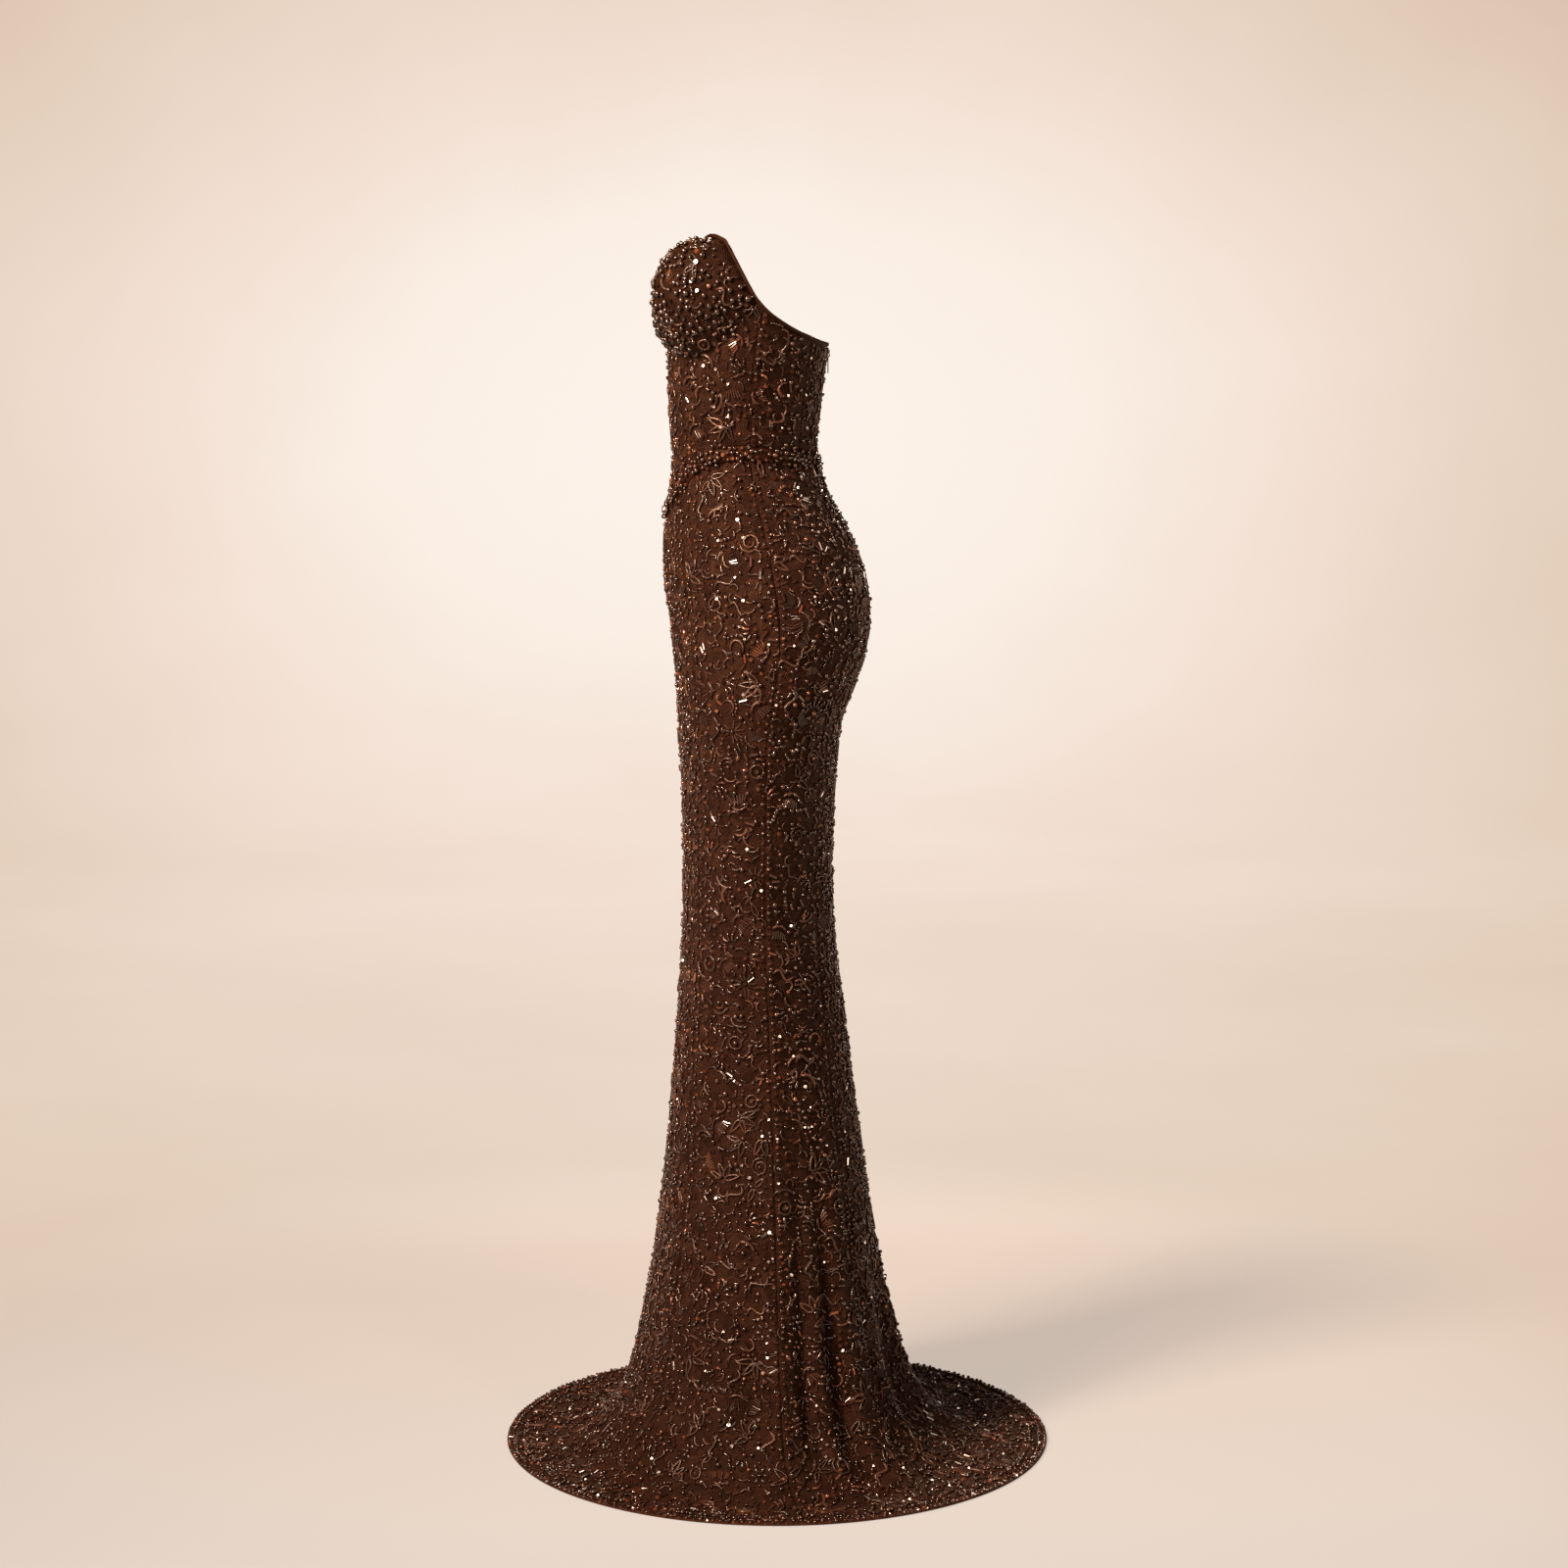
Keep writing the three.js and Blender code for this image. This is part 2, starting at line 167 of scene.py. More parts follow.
def canvas_floor(name):
    made, tree, place = new_material(name)
    level = add_node(tree, "VectorMath", {0: place, 1: (1, 1, 0)}, operation="MULTIPLY")
    radius = add_node(tree, "VectorMath", {0: level.outputs[0]}, operation="LENGTH").outputs["Value"]
    along = add_node(tree, "SeparateXYZ", {"Vector": place}).outputs["X"]
    # Painted shade: the floor's tint darkens in a band behind the gown, along x
    band = add_node(tree, "MapRange", {"Value": along, "From Min": FLOOR_SHADE_BAND[0], "From Max": FLOOR_SHADE_BAND[1]})
    tint = colour_ramp(tree, band.outputs["Result"], FLOOR_TINTS_AND_SHADE)
    matt = add_node(tree, "BsdfDiffuse", {"Color": tint, "Roughness": 0.9})
    own = add_node(tree, "Emission", {"Color": tint, "Strength": 1.0})
    close = add_node(tree, "MixShader", {"Fac": FLOOR_OWN_LIGHT, 1: matt.outputs[0], 2: own.outputs[0]})
    turn = add_node(
        tree,
        "MapRange",
        {"Value": radius, "From Min": FLOOR_CLOSE, "From Max": FLOOR_REACH},
        interpolation_type="SMOOTHSTEP",
    )
    far = add_node(tree, "Emission", {"Color": canvas_glow(tree, place)})
    return shown(made, "MixShader", {"Fac": turn.outputs["Result"], 1: close.outputs[0], 2: far.outputs[0]})


def canvas_backdrop(name):
    made, tree, place = new_material(name)
    return shown(made, "Emission", {"Color": canvas_glow(tree, place)})


bm = bmesh.new()
bmesh.ops.create_circle(bm, cap_ends=True, segments=FLOOR_SIDES, radius=FLOOR_RADIUS)
bmesh.ops.translate(bm, verts=bm.verts, vec=(0, 0, FLOOR_Z))
floor = new_piece("studio_floor", mesh_from(bm, "studio_floor", smooth=False), canvas_floor("canvas_floor"))

bm = bmesh.new()
bmesh.ops.create_circle(bm, segments=FLOOR_SIDES, radius=FLOOR_RADIUS)
bmesh.ops.translate(bm, verts=bm.verts, vec=(0, 0, FLOOR_Z))
edges = bm.edges[:]
for step in range(1, SWEEP_FACETS + 2):
    turn = math.radians(90) * min(step, SWEEP_FACETS) / SWEEP_FACETS
    top = SWEEP_RADIUS * (1 - math.cos(turn)) if step <= SWEEP_FACETS else SWEEP_HEIGHT
    lifted = bmesh.ops.extrude_edge_only(bm, edges=edges)["geom"]
    edges = [part for part in lifted if isinstance(part, bmesh.types.BMEdge)]
    for vert in [part for part in lifted if isinstance(part, bmesh.types.BMVert)]:
        out = Vector((vert.co.x, vert.co.y)).normalized() * (FLOOR_RADIUS + SWEEP_RADIUS * math.sin(turn))
        vert.co = (out.x, out.y, FLOOR_Z + top)
bmesh.ops.recalc_face_normals(bm, faces=bm.faces)
bmesh.ops.reverse_faces(bm, faces=bm.faces)
backdrop = new_piece("studio_backdrop", mesh_from(bm, "studio_backdrop"), canvas_backdrop("canvas_backdrop"))
for ray in ("diffuse", "glossy", "transmission", "shadow"):
    setattr(backdrop, f"visible_{ray}", False)

# Warm light that comes back from the room's pale walls, too even to glint in the beads.
world = bpy.data.worlds.new("studio_air")
world.use_nodes = True
air = world.node_tree.nodes["Background"].inputs
air["Color"].default_value = linear("ffdcc2")
air["Strength"].default_value = 0.15
world.cycles_visibility.glossy = False
bpy.context.scene.world = world

# Warm softboxes: a key high at the gown's front, a window-like one that glints in the beads, and weak fills
# from the camera's side, from above and from behind.
SOFTBOX_TINT = "ffead8"
SOFTBOXES = [
    # name, place, side, watts, beam in degrees, aim
    ("key_light", (2.15, -2.5, 2.5), 0.8, 33, 50, (0, 0, 0.12)),
    ("window_glint", (3.0, -2.3, 1.2), 1.0, 38, 90, (0, 0, -0.5)),
    ("camera_side_fill", (3.6, 2.6, 1.4), 0.7, 6, 60, (0, 0.1, -0.1)),
    ("top_light", (-0.5, -0.3, 3.2), 1.2, 4, 180, (0, 0, -0.1)),
    ("rear_fill", (-3.9, 0.5, 2.0), 1.6, 12, 34, (0, 0, 0.5)),
    ("back_fill", (-0.8, 4.0, 1.7), 1.4, 5, 40, (0, 0, 0.3)),
]


def add_softbox(name, place, size, watts, spread, aim):
    """A square softbox with a grid, whose beam fades out at half its spread in degrees."""
    data = bpy.data.lights.new(name, "AREA")
    data.shape = "SQUARE"
    data.size = size
    data.energy = watts
    data.spread = math.radians(spread)
    data.color = linear(SOFTBOX_TINT)[:3]
    made = bpy.data.objects.new(name, data)
    made.location = place
    made.rotation_euler = (Vector(aim) - Vector(place)).to_track_quat("-Z", "Y").to_euler()
    bpy.context.collection.objects.link(made)


for softbox in SOFTBOXES:
    add_softbox(*softbox)


# Skirt
# Seven gores of satin-backed net, cut narrow to the knee and wide at the floor, joined by pressed seams.
# The train is one piece with them. Close embroidery covers the cloth, and soft flutes run down behind the
# wearer's sides. Lengths are in metres, heights from the floor, angles from the centre front to the left.
WAIST_HEIGHT = 1.18
WAIST_FORWARD = 0.038
CLOTH_RISE = 0.0024  # the train's cloth lies this far off the floor
SHELL = 0.0012
SECTION_ROWS = np.array([
    # height, front, back, half width, squareness
    [1.446, 0.086, 0.093, 0.136, 2.3],
    [1.405, 0.101, 0.088, 0.138, 2.3],
    [1.366, 0.111, 0.074, 0.139, 2.3],
    [1.312, 0.125, 0.059, 0.128, 2.3],
    [1.258, 0.125, 0.051, 0.118, 2.2],
    [1.190, 0.121, 0.045, 0.112, 2.2],
    [1.148, 0.123, 0.056, 0.121, 2.2],
    [1.098, 0.130, 0.082, 0.139, 2.2],
    [1.052, 0.131, 0.100, 0.154, 2.2],
    [1.006, 0.125, 0.108, 0.165, 2.2],
    [0.959, 0.120, 0.103, 0.171, 2.2],
    [0.913, 0.116, 0.088, 0.171, 2.2],
    [0.866, 0.114, 0.073, 0.166, 2.2],
    [0.773, 0.110, 0.066, 0.152, 2.2],
    [0.700, 0.109, 0.064, 0.143, 2.2],
    [0.620, 0.111, 0.067, 0.137, 2.2],
    [0.536, 0.116, 0.077, 0.137, 2.2],
    [0.441, 0.123, 0.089, 0.147, 2.2],
    [0.345, 0.132, 0.102, 0.162, 2.1],
    [0.248, 0.144, 0.116, 0.181, 2.1],
    [0.151, 0.161, 0.135, 0.203, 2.0],
    [0.102, 0.172, 0.148, 0.216, 2.0],
    [0.060, 0.187, 0.165, 0.230, 2.0],
    [0.030, 0.205, 0.189, 0.246, 2.0],
    [0.012, 0.225, 0.216, 0.262, 2.0],
    [CLOTH_RISE, 0.254, 0.252, 0.280, 2.0],
    [CLOTH_RISE, 0.316, 0.316, 0.316, 2.0],
])
FLUTES = np.array([
    # angle, half width in degrees, rise, height at which it starts
    [8, 9, 0.002, 0.26],
    [40, 9, 0.002, 0.28],
    [72, 7, 0.003, 0.26],
    [97, 7, 0.005, 0.95],
    [107, 5, -0.007, 0.33],
    [114, 5, 0.004, 0.33],
    [121, 5, -0.008, 0.39],
    [133, 9, 0.008, 0.43],
    [161, 8, -0.013, 0.29],
    [177, 8, 0.007, 0.33],
    [199, 8, -0.009, 0.30],
    [222, 10, 0.008, 0.40],
    [238, 6, -0.009, 0.42],
    [249, 6, 0.004, 0.33],
    [264, 8, 0.005, 0.95],
    [292, 8, 0.003, 0.30],
    [330, 9, 0.002, 0.28],
])
CREASES = np.array([
    # the same, for the narrow creases between the flutes, which the solids leave out
    [84, 3, -0.002, 0.42],
    [107, 4, -0.003, 0.48],
    [114, 3, 0.003, 0.46],
    [121, 4, -0.004, 0.54],
    [128, 3, 0.003, 0.44],
    [141, 4, -0.004, 0.46],
    [150, 4, 0.003, 0.40],
    [168, 4, -0.003, 0.36],
    [211, 4, 0.003, 0.38],
    [230, 3, -0.003, 0.44],
    [244, 4, -0.003, 0.46],
    [257, 4, -0.003, 0.42],
    [276, 3, -0.002, 0.40],
])
FLUTE_FOOT = 0.305  # the flutes flatten out towards this radius of the train
FLUTE_FOOT_RUN = 0.090
SINK_HEIGHT = 0.080  # hollows flatten out below this height, so that they don't dip into the floor
FADE_IN = 0.75  # the share of its height over which a flute grows
PANELS = {
    "front": (-42, 42),
    "side_front_left": (42, 96),
    "side_front_right": (-96, -42),
    "side_back_left": (96, 138),
    "side_back_right": (-138, -96),
    "back_left": (138, 180),
    "back_right": (-180, -138),
}
BASQUE_SEAM = [
    (0, 1.119), (15, 1.127), (30, 1.144), (40, 1.160), (50, 1.173),
    (60, 1.181), (72, 1.187), (90, 1.190), (130, 1.183), (180, 1.176),
]
BASQUE_WIDTH = 0.017


def ease(t):
    t = np.clip(t, 0, 1)
    return t * t * (3 - 2 * t)


def curve_through(xs, ys):
    """A smooth curve through points that never overshoots them."""
    xs, ys = np.asarray(xs, float), np.asarray(ys, float)
    rise = np.diff(ys) / np.diff(xs)
    before = np.concatenate([rise[:1], rise])
    after = np.concatenate([rise, rise[-1:]])
    turning = before * after <= 0
    slope = np.where(turning, 0, 2 * before * after / np.where(turning, 1, before + after))

    def at(x):
        i = np.clip(np.searchsorted(xs, x) - 1, 0, len(xs) - 2)
        width = xs[i + 1] - xs[i]
        t = np.clip((x - xs[i]) / width, 0, 1)
        u = 1 - t
        ends = ys[i] * (1 + 2 * t) * u * u + ys[i + 1] * t * t * (3 - 2 * t)
        return ends + (slope[i] * u - slope[i + 1] * t) * width * t * u

    return at


LAST_STATION = len(SECTION_ROWS) - 1
section_curves = [curve_through(np.arange(LAST_STATION + 1), column) for column in SECTION_ROWS.T]
fine_stations = np.linspace(0, LAST_STATION - 1, 8001)
fine_heights = section_curves[0](fine_stations)


def station_at(height):
    return np.interp(height, fine_heights[::-1], fine_stations[::-1])


def seam_height(rows):
    curve = curve_through([r[0] for r in rows], [r[1] for r in rows])
    return lambda angle: curve(np.abs((np.asarray(angle, float) + 180) % 360 - 180))


basque_height = seam_height(BASQUE_SEAM)


def ring_point(angle, station):
    """The plain level ring, in the gown's own frame with the waist at the origin."""
    height, front, back, half, square = [curve(station) for curve in section_curves]
    turn = np.radians(angle)
    sine, cosine = np.sin(turn), np.cos(turn)
    reach = (np.abs(sine) ** square + np.abs(cosine) ** square) ** (-1 / square)
    x = half * reach * sine
    y = (back - front) / 2 - (back + front) / 2 * reach * cosine + WAIST_FORWARD
    return np.stack([x, y, height - WAIST_HEIGHT + 0 * x], axis=-1)


def unit(vectors):
    return vectors / np.linalg.norm(vectors, axis=-1, keepdims=True)


def grid_normals(points, wraps):
    """Outward normals of a grid of points, whose rows run down and whose columns run to the wearer's left."""
    if wraps:
        wide = np.concatenate([points[:, -2:-1], points, points[:, 1:2]], axis=1)
        across = wide[:, 2:] - wide[:, :-2]
    else:
        across = np.gradient(points, axis=1)
    return unit(np.cross(np.gradient(points, axis=0), across))


def flute_rise(angle, points):
    height = points[..., 2] + WAIST_HEIGHT
    foot = ease((FLUTE_FOOT - np.hypot(points[..., 0], points[..., 1] - WAIST_FORWARD)) / FLUTE_FOOT_RUN)
    total = 0
    for place, spread, rise, top in np.concatenate([FLUTES, CREASES]):
        away = np.abs((angle - place + 540) % 360 - 180) / spread
        start = ease((top - height) / (top * FADE_IN))
        sink = ease(height / SINK_HEIGHT) if rise < 0 else 1
        total = total + rise * np.exp(-away * away) * start * foot * sink
    return total


ANGLE_STEP = 0.5
STATION_STEP = 0.04
body_angles = np.arange(-180, 180 + ANGLE_STEP / 2, ANGLE_STEP)
body_stations = np.arange(0, LAST_STATION + STATION_STEP / 2, STATION_STEP)
across, down = np.meshgrid(body_angles, body_stations)
plain_body = ring_point(across, down)
plain_body += grid_normals(plain_body, True) * flute_rise(across, plain_body)[..., None]
body = {
    "points": plain_body,
    "normals": grid_normals(plain_body, True),
    "start": (-180, 0),
    "step": (ANGLE_STEP, STATION_STEP),
}


def read_grid(values, surface, u, v):
    """Values between the surface's grid points, u across and v down."""
    rows, columns = values.shape[:2]
    c = np.clip((u - surface["start"][0]) / surface["step"][0], 0, columns - 1.001)
    r = np.clip((v - surface["start"][1]) / surface["step"][1], 0, rows - 1.001)
    i, j = r.astype(int), c.astype(int)
    a, b = (r - i)[..., None], (c - j)[..., None]
    upper = values[i, j] * (1 - b) + values[i, j + 1] * b
    lower = values[i + 1, j] * (1 - b) + values[i + 1, j + 1] * b
    return upper * (1 - a) + lower * a


def surface_at(surface, u, v):
    u, v = np.asarray(u, float), np.asarray(v, float)
    points = read_grid(surface["points"], surface, u, v)
    return points, unit(read_grid(surface["normals"], surface, u, v))


SEAM_DEPTH = 0.0004  # a sewn side is drawn in this much, over about the spread
SEAM_SPREAD = 0.0018


def cloth_shell(name, surface, turns, top, bottom, grid, material, thickness=SHELL, lift=None):
    """A sheet over part of a surface, from its upper to its lower edge, its sewn sides drawn in a little.
    Its UV map is in metres: across from its middle line, and down that line. Gives the piece, its flat size
    and its area."""
    columns, rows = grid
    bm = bmesh.new()
    layer = bm.loops.layers.uv.new("flat_cloth")
    bmesh.ops.create_grid(bm, x_segments=columns, y_segments=rows, size=0.5)
    at = np.array([vert.co for vert in bm.verts])
    share, depth = at[:, 0] + 0.5, 0.5 - at[:, 1]
    u = turns[0] + share * (turns[1] - turns[0])
    v = top(u) + depth * (bottom(u) - top(u))
    points, normals = surface_at(surface, u, v)
    row, column = np.rint(depth * rows).astype(int), np.rint(share * columns).astype(int)
    lattice = np.zeros((rows + 1, columns + 1, 3))
    lattice[row, column] = points
    widths = np.cumsum(np.linalg.norm(np.diff(lattice, axis=1, prepend=lattice[:, :1]), axis=2), axis=1)
    drops = np.cumsum(np.linalg.norm(np.diff(lattice, axis=0, prepend=lattice[:1]), axis=2), axis=0)
    from_side = np.minimum(widths, widths[:, -1:] - widths)
    draw_in = -SEAM_DEPTH * np.exp(-((from_side / SEAM_SPREAD) ** 2))[row, column]
    rise = draw_in + (lift(depth) if lift else 0)
    for vert, place in zip(bm.verts, points + normals * rise[:, None]):
        vert.co = place
    middle = columns // 2
    across_mid = (widths - widths[:, middle:middle + 1])[row, column]
    down_mid = drops[:, middle][row]
    for face in bm.faces:
        for loop in face.loops:
            loop[layer].uv = (across_mid[loop.vert.index], -down_mid[loop.vert.index])
    made = new_piece(name, mesh_from(bm, name), material)
    wall = made.modifiers.new("thickness", "SOLIDIFY")
    wall.thickness = thickness
    wall.offset = -1
    flat = (float(widths[:, -1].max()), float(drops[-1].max()))
    cells = np.cross(np.diff(lattice, axis=1)[:-1], np.diff(lattice, axis=0)[:, :-1])
    return made, flat, min(float(np.linalg.norm(cells, axis=2).sum()), flat[0] * flat[1])


# Satin-backed net, embroidered: short silk fill stitches in small patches that each lie their own way, with a
# soft gleam along the thread. Its browns go from bitter chocolate to cocoa.
WAVE_MM = 1000 * math.tau / 20  # from crest to crest of the wave texture, at scale 1
STITCH_MM = 2.389  # real threads lie about 0.4 mm apart, drawn coarser so that they show
PATCH_MM = 13


def embroidered_net(name, dark, light, dust):
    made, tree, flat = new_material(name, "UV")
    patches = {"Vector": flat, "Scale": 1000 / PATCH_MM}
    patch = add_node(tree, "TexVoronoi", patches)
    edge = add_node(tree, "TexVoronoi", patches, feature="DISTANCE_TO_EDGE")
    own = add_node(tree, "SeparateColor", {"Color": patch.outputs["Color"]})
    way = add_node(tree, "Math", {0: own.outputs["Red"], 1: math.tau}, operation="MULTIPLY")
    laid = add_node(tree, "VectorRotate", {"Vector": flat, "Angle": way.outputs[0]}, rotation_type="Z_AXIS")
    thread = add_node(
        tree,
        "TexWave",
        {
            "Vector": laid.outputs[0],
            "Scale": WAVE_MM / STITCH_MM,
            "Distortion": 2.5,
            "Detail": 2.0,
            "Detail Scale": 2.0,
        },
    )
    worn = add_node(tree, "TexNoise", {"Vector": flat, "Scale": 24.0, "Detail": 4.0, "Roughness": 0.6})
    tone = add_node(tree, "Mix", {0: 0.45, 2: own.outputs["Green"], 3: thread.outputs["Fac"]})
    drift = add_node(tree, "Mix", {0: 0.45, 2: tone.outputs[0], 3: worn.outputs["Fac"]})
    colour = colour_ramp(tree, drift.outputs[0], [(0.2, dark), (0.6, light), (0.95, dust)])
    groove = add_node(tree, "MapRange", {"Value": edge.outputs["Distance"], "From Max": 0.12})
    relief = add_node(tree, "Math", {0: thread.outputs["Fac"], 1: groove.outputs[0]}, operation="MULTIPLY")
    bump = add_node(tree, "Bump", {"Height": relief.outputs[0], "Strength": 0.9, "Distance": 0.0012})
    return shown(made, "BsdfPrincipled", {
        "Base Color": colour,
        "Roughness": 0.6,
        "IOR": 1.28,  # silk's is 1.56, but the dull net over it takes most of its gleam
        "Specular Tint": linear("d09068"),
        "Sheen Weight": 0.1,
        "Sheen Roughness": 0.4,
        "Sheen Tint": linear("b0764f"),
        "Normal": bump.outputs[0],
    })


net = embroidered_net("embroidered_satin_net", "190c07", "2a1710", "402618")

GORE_GRID = {"front": (60, 150), "side_front": (42, 150), "side_back": (40, 150), "back": (40, 150)}


def gore_top(angle):
    return station_at(basque_height(angle) - BASQUE_WIDTH / 2)


def gore_bottom(angle):
    return LAST_STATION + 0 * angle


for name, turns in PANELS.items():
    grid = GORE_GRID[name.replace("_left", "").replace("_right", "")]
    gore, flat, area = cloth_shell(f"gore_{name}", body, turns, gore_top, gore_bottom, grid, net)
    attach(gore, "gown")
    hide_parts(f"skirt_{name}")


# Bodice
# Seven boned panels of the same embroidered net, stretched smooth over the ribs and sewn to the waist band
# below and to the cups and the binding above.
UNDERBUST_SEAM = [
    (0, 1.316), (24, 1.310), (41, 1.303), (53, 1.300), (65, 1.308), (74, 1.319), (84, 1.342), (90, 1.357),
]
NECKLINE = [
    (0, 1.396), (8, 1.401), (18, 1.418), (28, 1.434), (37, 1.438), (52, 1.432), (62, 1.416), (70, 1.400),
    (78, 1.384), (90, 1.363), (105, 1.345), (130, 1.326), (155, 1.317), (180, 1.315),
]
BINDING = 0.005
CUP_END = 90
BODICE_GRID = (36, 44)

underbust_height = seam_height(UNDERBUST_SEAM)
neckline_height = seam_height(NECKLINE)


def bodice_top(angle):
    under_cup = np.abs(angle) <= CUP_END
    return station_at(np.where(under_cup, underbust_height(angle), neckline_height(angle) - BINDING))


def bodice_bottom(angle):
    return station_at(basque_height(angle) + BASQUE_WIDTH / 2)


for name, turns in PANELS.items():
    panel, flat, area = cloth_shell(f"panel_{name}", body, turns, bodice_top, bodice_bottom, BODICE_GRID, net)
    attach(panel, "gown")
    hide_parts(f"bodice_{name}")


# Cups
# Two moulded cups stand out from the bodice, each rising from a tight seam under the bust to the binding.
# Each is one piece of a darker embroidered net, pressed over a mould and sewn in all round.
CUP_DEPTH = 0.046
CUP_CREST_ANGLE = 38
CUP_CREST = 0.6
CUP_SPLAY = 12
CUP_BRIDGE = 0.15
CUP_ANGLE_STEP = 0.5
CUP_DOWN_STEP = 1 / 160
CUP_GRID = (60, 60)
CUP_TURNS = {"left": (0, 89.5), "right": (-89.5, 0)}
cup_net = embroidered_net("moulded_cup_net", "140805", "23120b", "342015")


def bulge(away, roundness):
    return (1 - np.clip(away, 0, 1) ** roundness) ** (1 / roundness)


def cup_point(angle, position):
    low = underbust_height(angle)
    high = neckline_height(angle) - BINDING
    up = 1 - position
    at = ring_point(angle, station_at(low + (high - low) * up))
    upright = np.where(
        up > CUP_CREST, bulge((up - CUP_CREST) / (1 - CUP_CREST), 2.3), bulge(1 - up / CUP_CREST, 1.5)
    )
    turn = np.abs(angle)
    outward = np.clip((turn - CUP_CREST_ANGLE) / (CUP_END - CUP_CREST_ANGLE), 0, 1)
    inward = CUP_BRIDGE + (1 - CUP_BRIDGE) * ease(turn / CUP_CREST_ANGLE)
    depth = CUP_DEPTH * upright * np.where(turn < CUP_CREST_ANGLE, inward, (1 - outward**2) ** 0.9)
    splay = np.radians(CUP_SPLAY) * np.where(angle < 0, -1, 1)
    return at + np.stack([np.sin(splay) * depth, -np.cos(splay) * depth, 0 * depth], axis=-1)


def cup_surface(low, high):
    angles = np.arange(low, high + CUP_ANGLE_STEP / 2, CUP_ANGLE_STEP)
    positions = np.arange(0, 1 + CUP_DOWN_STEP / 2, CUP_DOWN_STEP)
    across, down = np.meshgrid(angles, positions)
    points = cup_point(across, down)
    return {
        "points": points,
        "normals": grid_normals(points, False),
        "start": (low, 0),
        "step": (CUP_ANGLE_STEP, CUP_DOWN_STEP),
    }


def cup_top(angle):
    return 0 * angle


def cup_bottom(angle):
    return 0 * angle + 1


cup_surfaces = {side: cup_surface(*turns) for side, turns in CUP_TURNS.items()}
for side, turns in CUP_TURNS.items():
    name, surface = f"moulded_cup_{side}", cup_surfaces[side]
    cup, flat, area = cloth_shell(name, surface, turns, cup_top, cup_bottom, CUP_GRID, cup_net)
    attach(cup, "gown")
    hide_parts(f"cup_{side}")


# Neckline binding
# A narrow bias strip of plain dark satin, folded over the raw top edge and stitched down. It runs over both
# cups and on round the back.
BIAS_GRID = (420, 8)
BINDING_PROUD = 0.0016
BINDING_THICK = 0.0034
BIAS_SHOWN = 0.006


def plain_satin(name, dark, light):
    """Duchess satin: silk floats in one direction, so it gleams in soft bands across the thread."""
    made, tree, place = new_material(name)
    floats = add_node(tree, "TexWave", {"Vector": place, "Scale": 180.0, "Distortion": 1.0, "Detail": 1.0})
    slub = add_node(tree, "TexNoise", {"Vector": place, "Scale": 90.0, "Detail": 3.0})
    bump = add_node(tree, "Bump", {"Height": floats.outputs["Fac"], "Strength": 0.3, "Distance": 0.0004})
    return shown(made, "BsdfPrincipled", {
        "Base Color": colour_ramp(tree, slub.outputs["Fac"], [(0.3, dark), (0.7, light)]),
        "Roughness": 0.6,
        "IOR": 1.3,  # below silk's 1.56, as the photograph shows hardly any gleam on it
        "Specular Tint": linear("c08a66"),
        "Normal": bump.outputs[0],
    })


satin = plain_satin("duchess_satin", "1c0b05", "2c150b")


def round_over(height):
    return lambda depth: height * np.sin(np.pi * np.clip(depth, 0, 1)) ** 0.7


binding, flat, _ = cloth_shell(
    "satin_binding",
    body,
    (-180, 180),
    lambda u: station_at(neckline_height(u)),
    lambda u: station_at(neckline_height(u) - BINDING),
    BIAS_GRID,
    satin,
    thickness=BINDING_THICK,
    lift=round_over(BINDING_PROUD),
)
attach(binding, "gown")
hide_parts("neckline_binding")
area = flat[0] * BIAS_SHOWN


# Basque band
# A padded strip of satin over the waist seam, pointed at the centre front, under a dense roll of beads. Its
# edges are turned in and stitched to the bodice and to the skirt.
BAND_GRID = (420, 10)
BAND_RISE = 0.003
BAND_THICK = 0.0022
BAND_WIDTH = 0.02
band, flat, area = cloth_shell(
    "waist_band",
    body,
    (-180, 180),
    lambda u: station_at(basque_height(u) + BASQUE_WIDTH / 2),
    lambda u: station_at(basque_height(u) - BASQUE_WIDTH / 2),
    BAND_GRID,
    satin,
    thickness=BAND_THICK,
    lift=round_over(BAND_RISE),
)
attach(band, "gown")
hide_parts("basque_band")
area = min(area, flat[0] * BAND_WIDTH)


# Hem
# A satin hem, turned under over a cord and stitched down, so that the train's edge lies flat and round on the
# floor.
HEM_INNER = 0.3163
HEM_OUTER = 0.3268
HEM_THICK = 0.0034
HEM_FACETS = 240

bm = bmesh.new()
section = bmesh.ops.create_circle(bm, segments=16, radius=0.5)["verts"]
bmesh.ops.rotate(bm, verts=section, cent=(0, 0, 0), matrix=Matrix.Rotation(math.radians(90), 3, "X"))
bmesh.ops.scale(bm, verts=section, vec=(HEM_OUTER - HEM_INNER, 1, HEM_THICK))
bmesh.ops.translate(bm, verts=section, vec=((HEM_OUTER + HEM_INNER) / 2, 0, HEM_THICK / 2))
bmesh.ops.spin(
    bm,
    geom=bm.verts[:] + bm.edges[:],
    cent=(0, 0, 0),
    axis=(0, 0, 1),
    angle=math.tau,
    steps=HEM_FACETS,
    use_merge=True,
)
bmesh.ops.remove_doubles(bm, verts=bm.verts, dist=1e-6)
bmesh.ops.recalc_face_normals(bm, faces=bm.faces)
bmesh.ops.translate(bm, verts=bm.verts, vec=(0, WAIST_FORWARD, -WAIST_HEIGHT))
hem = new_piece("rolled_hem", mesh_from(bm, "rolled_hem"), plain_satin("turned_satin", "2c1308", "40200f"))
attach(hem, "gown")
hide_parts("hem_band")

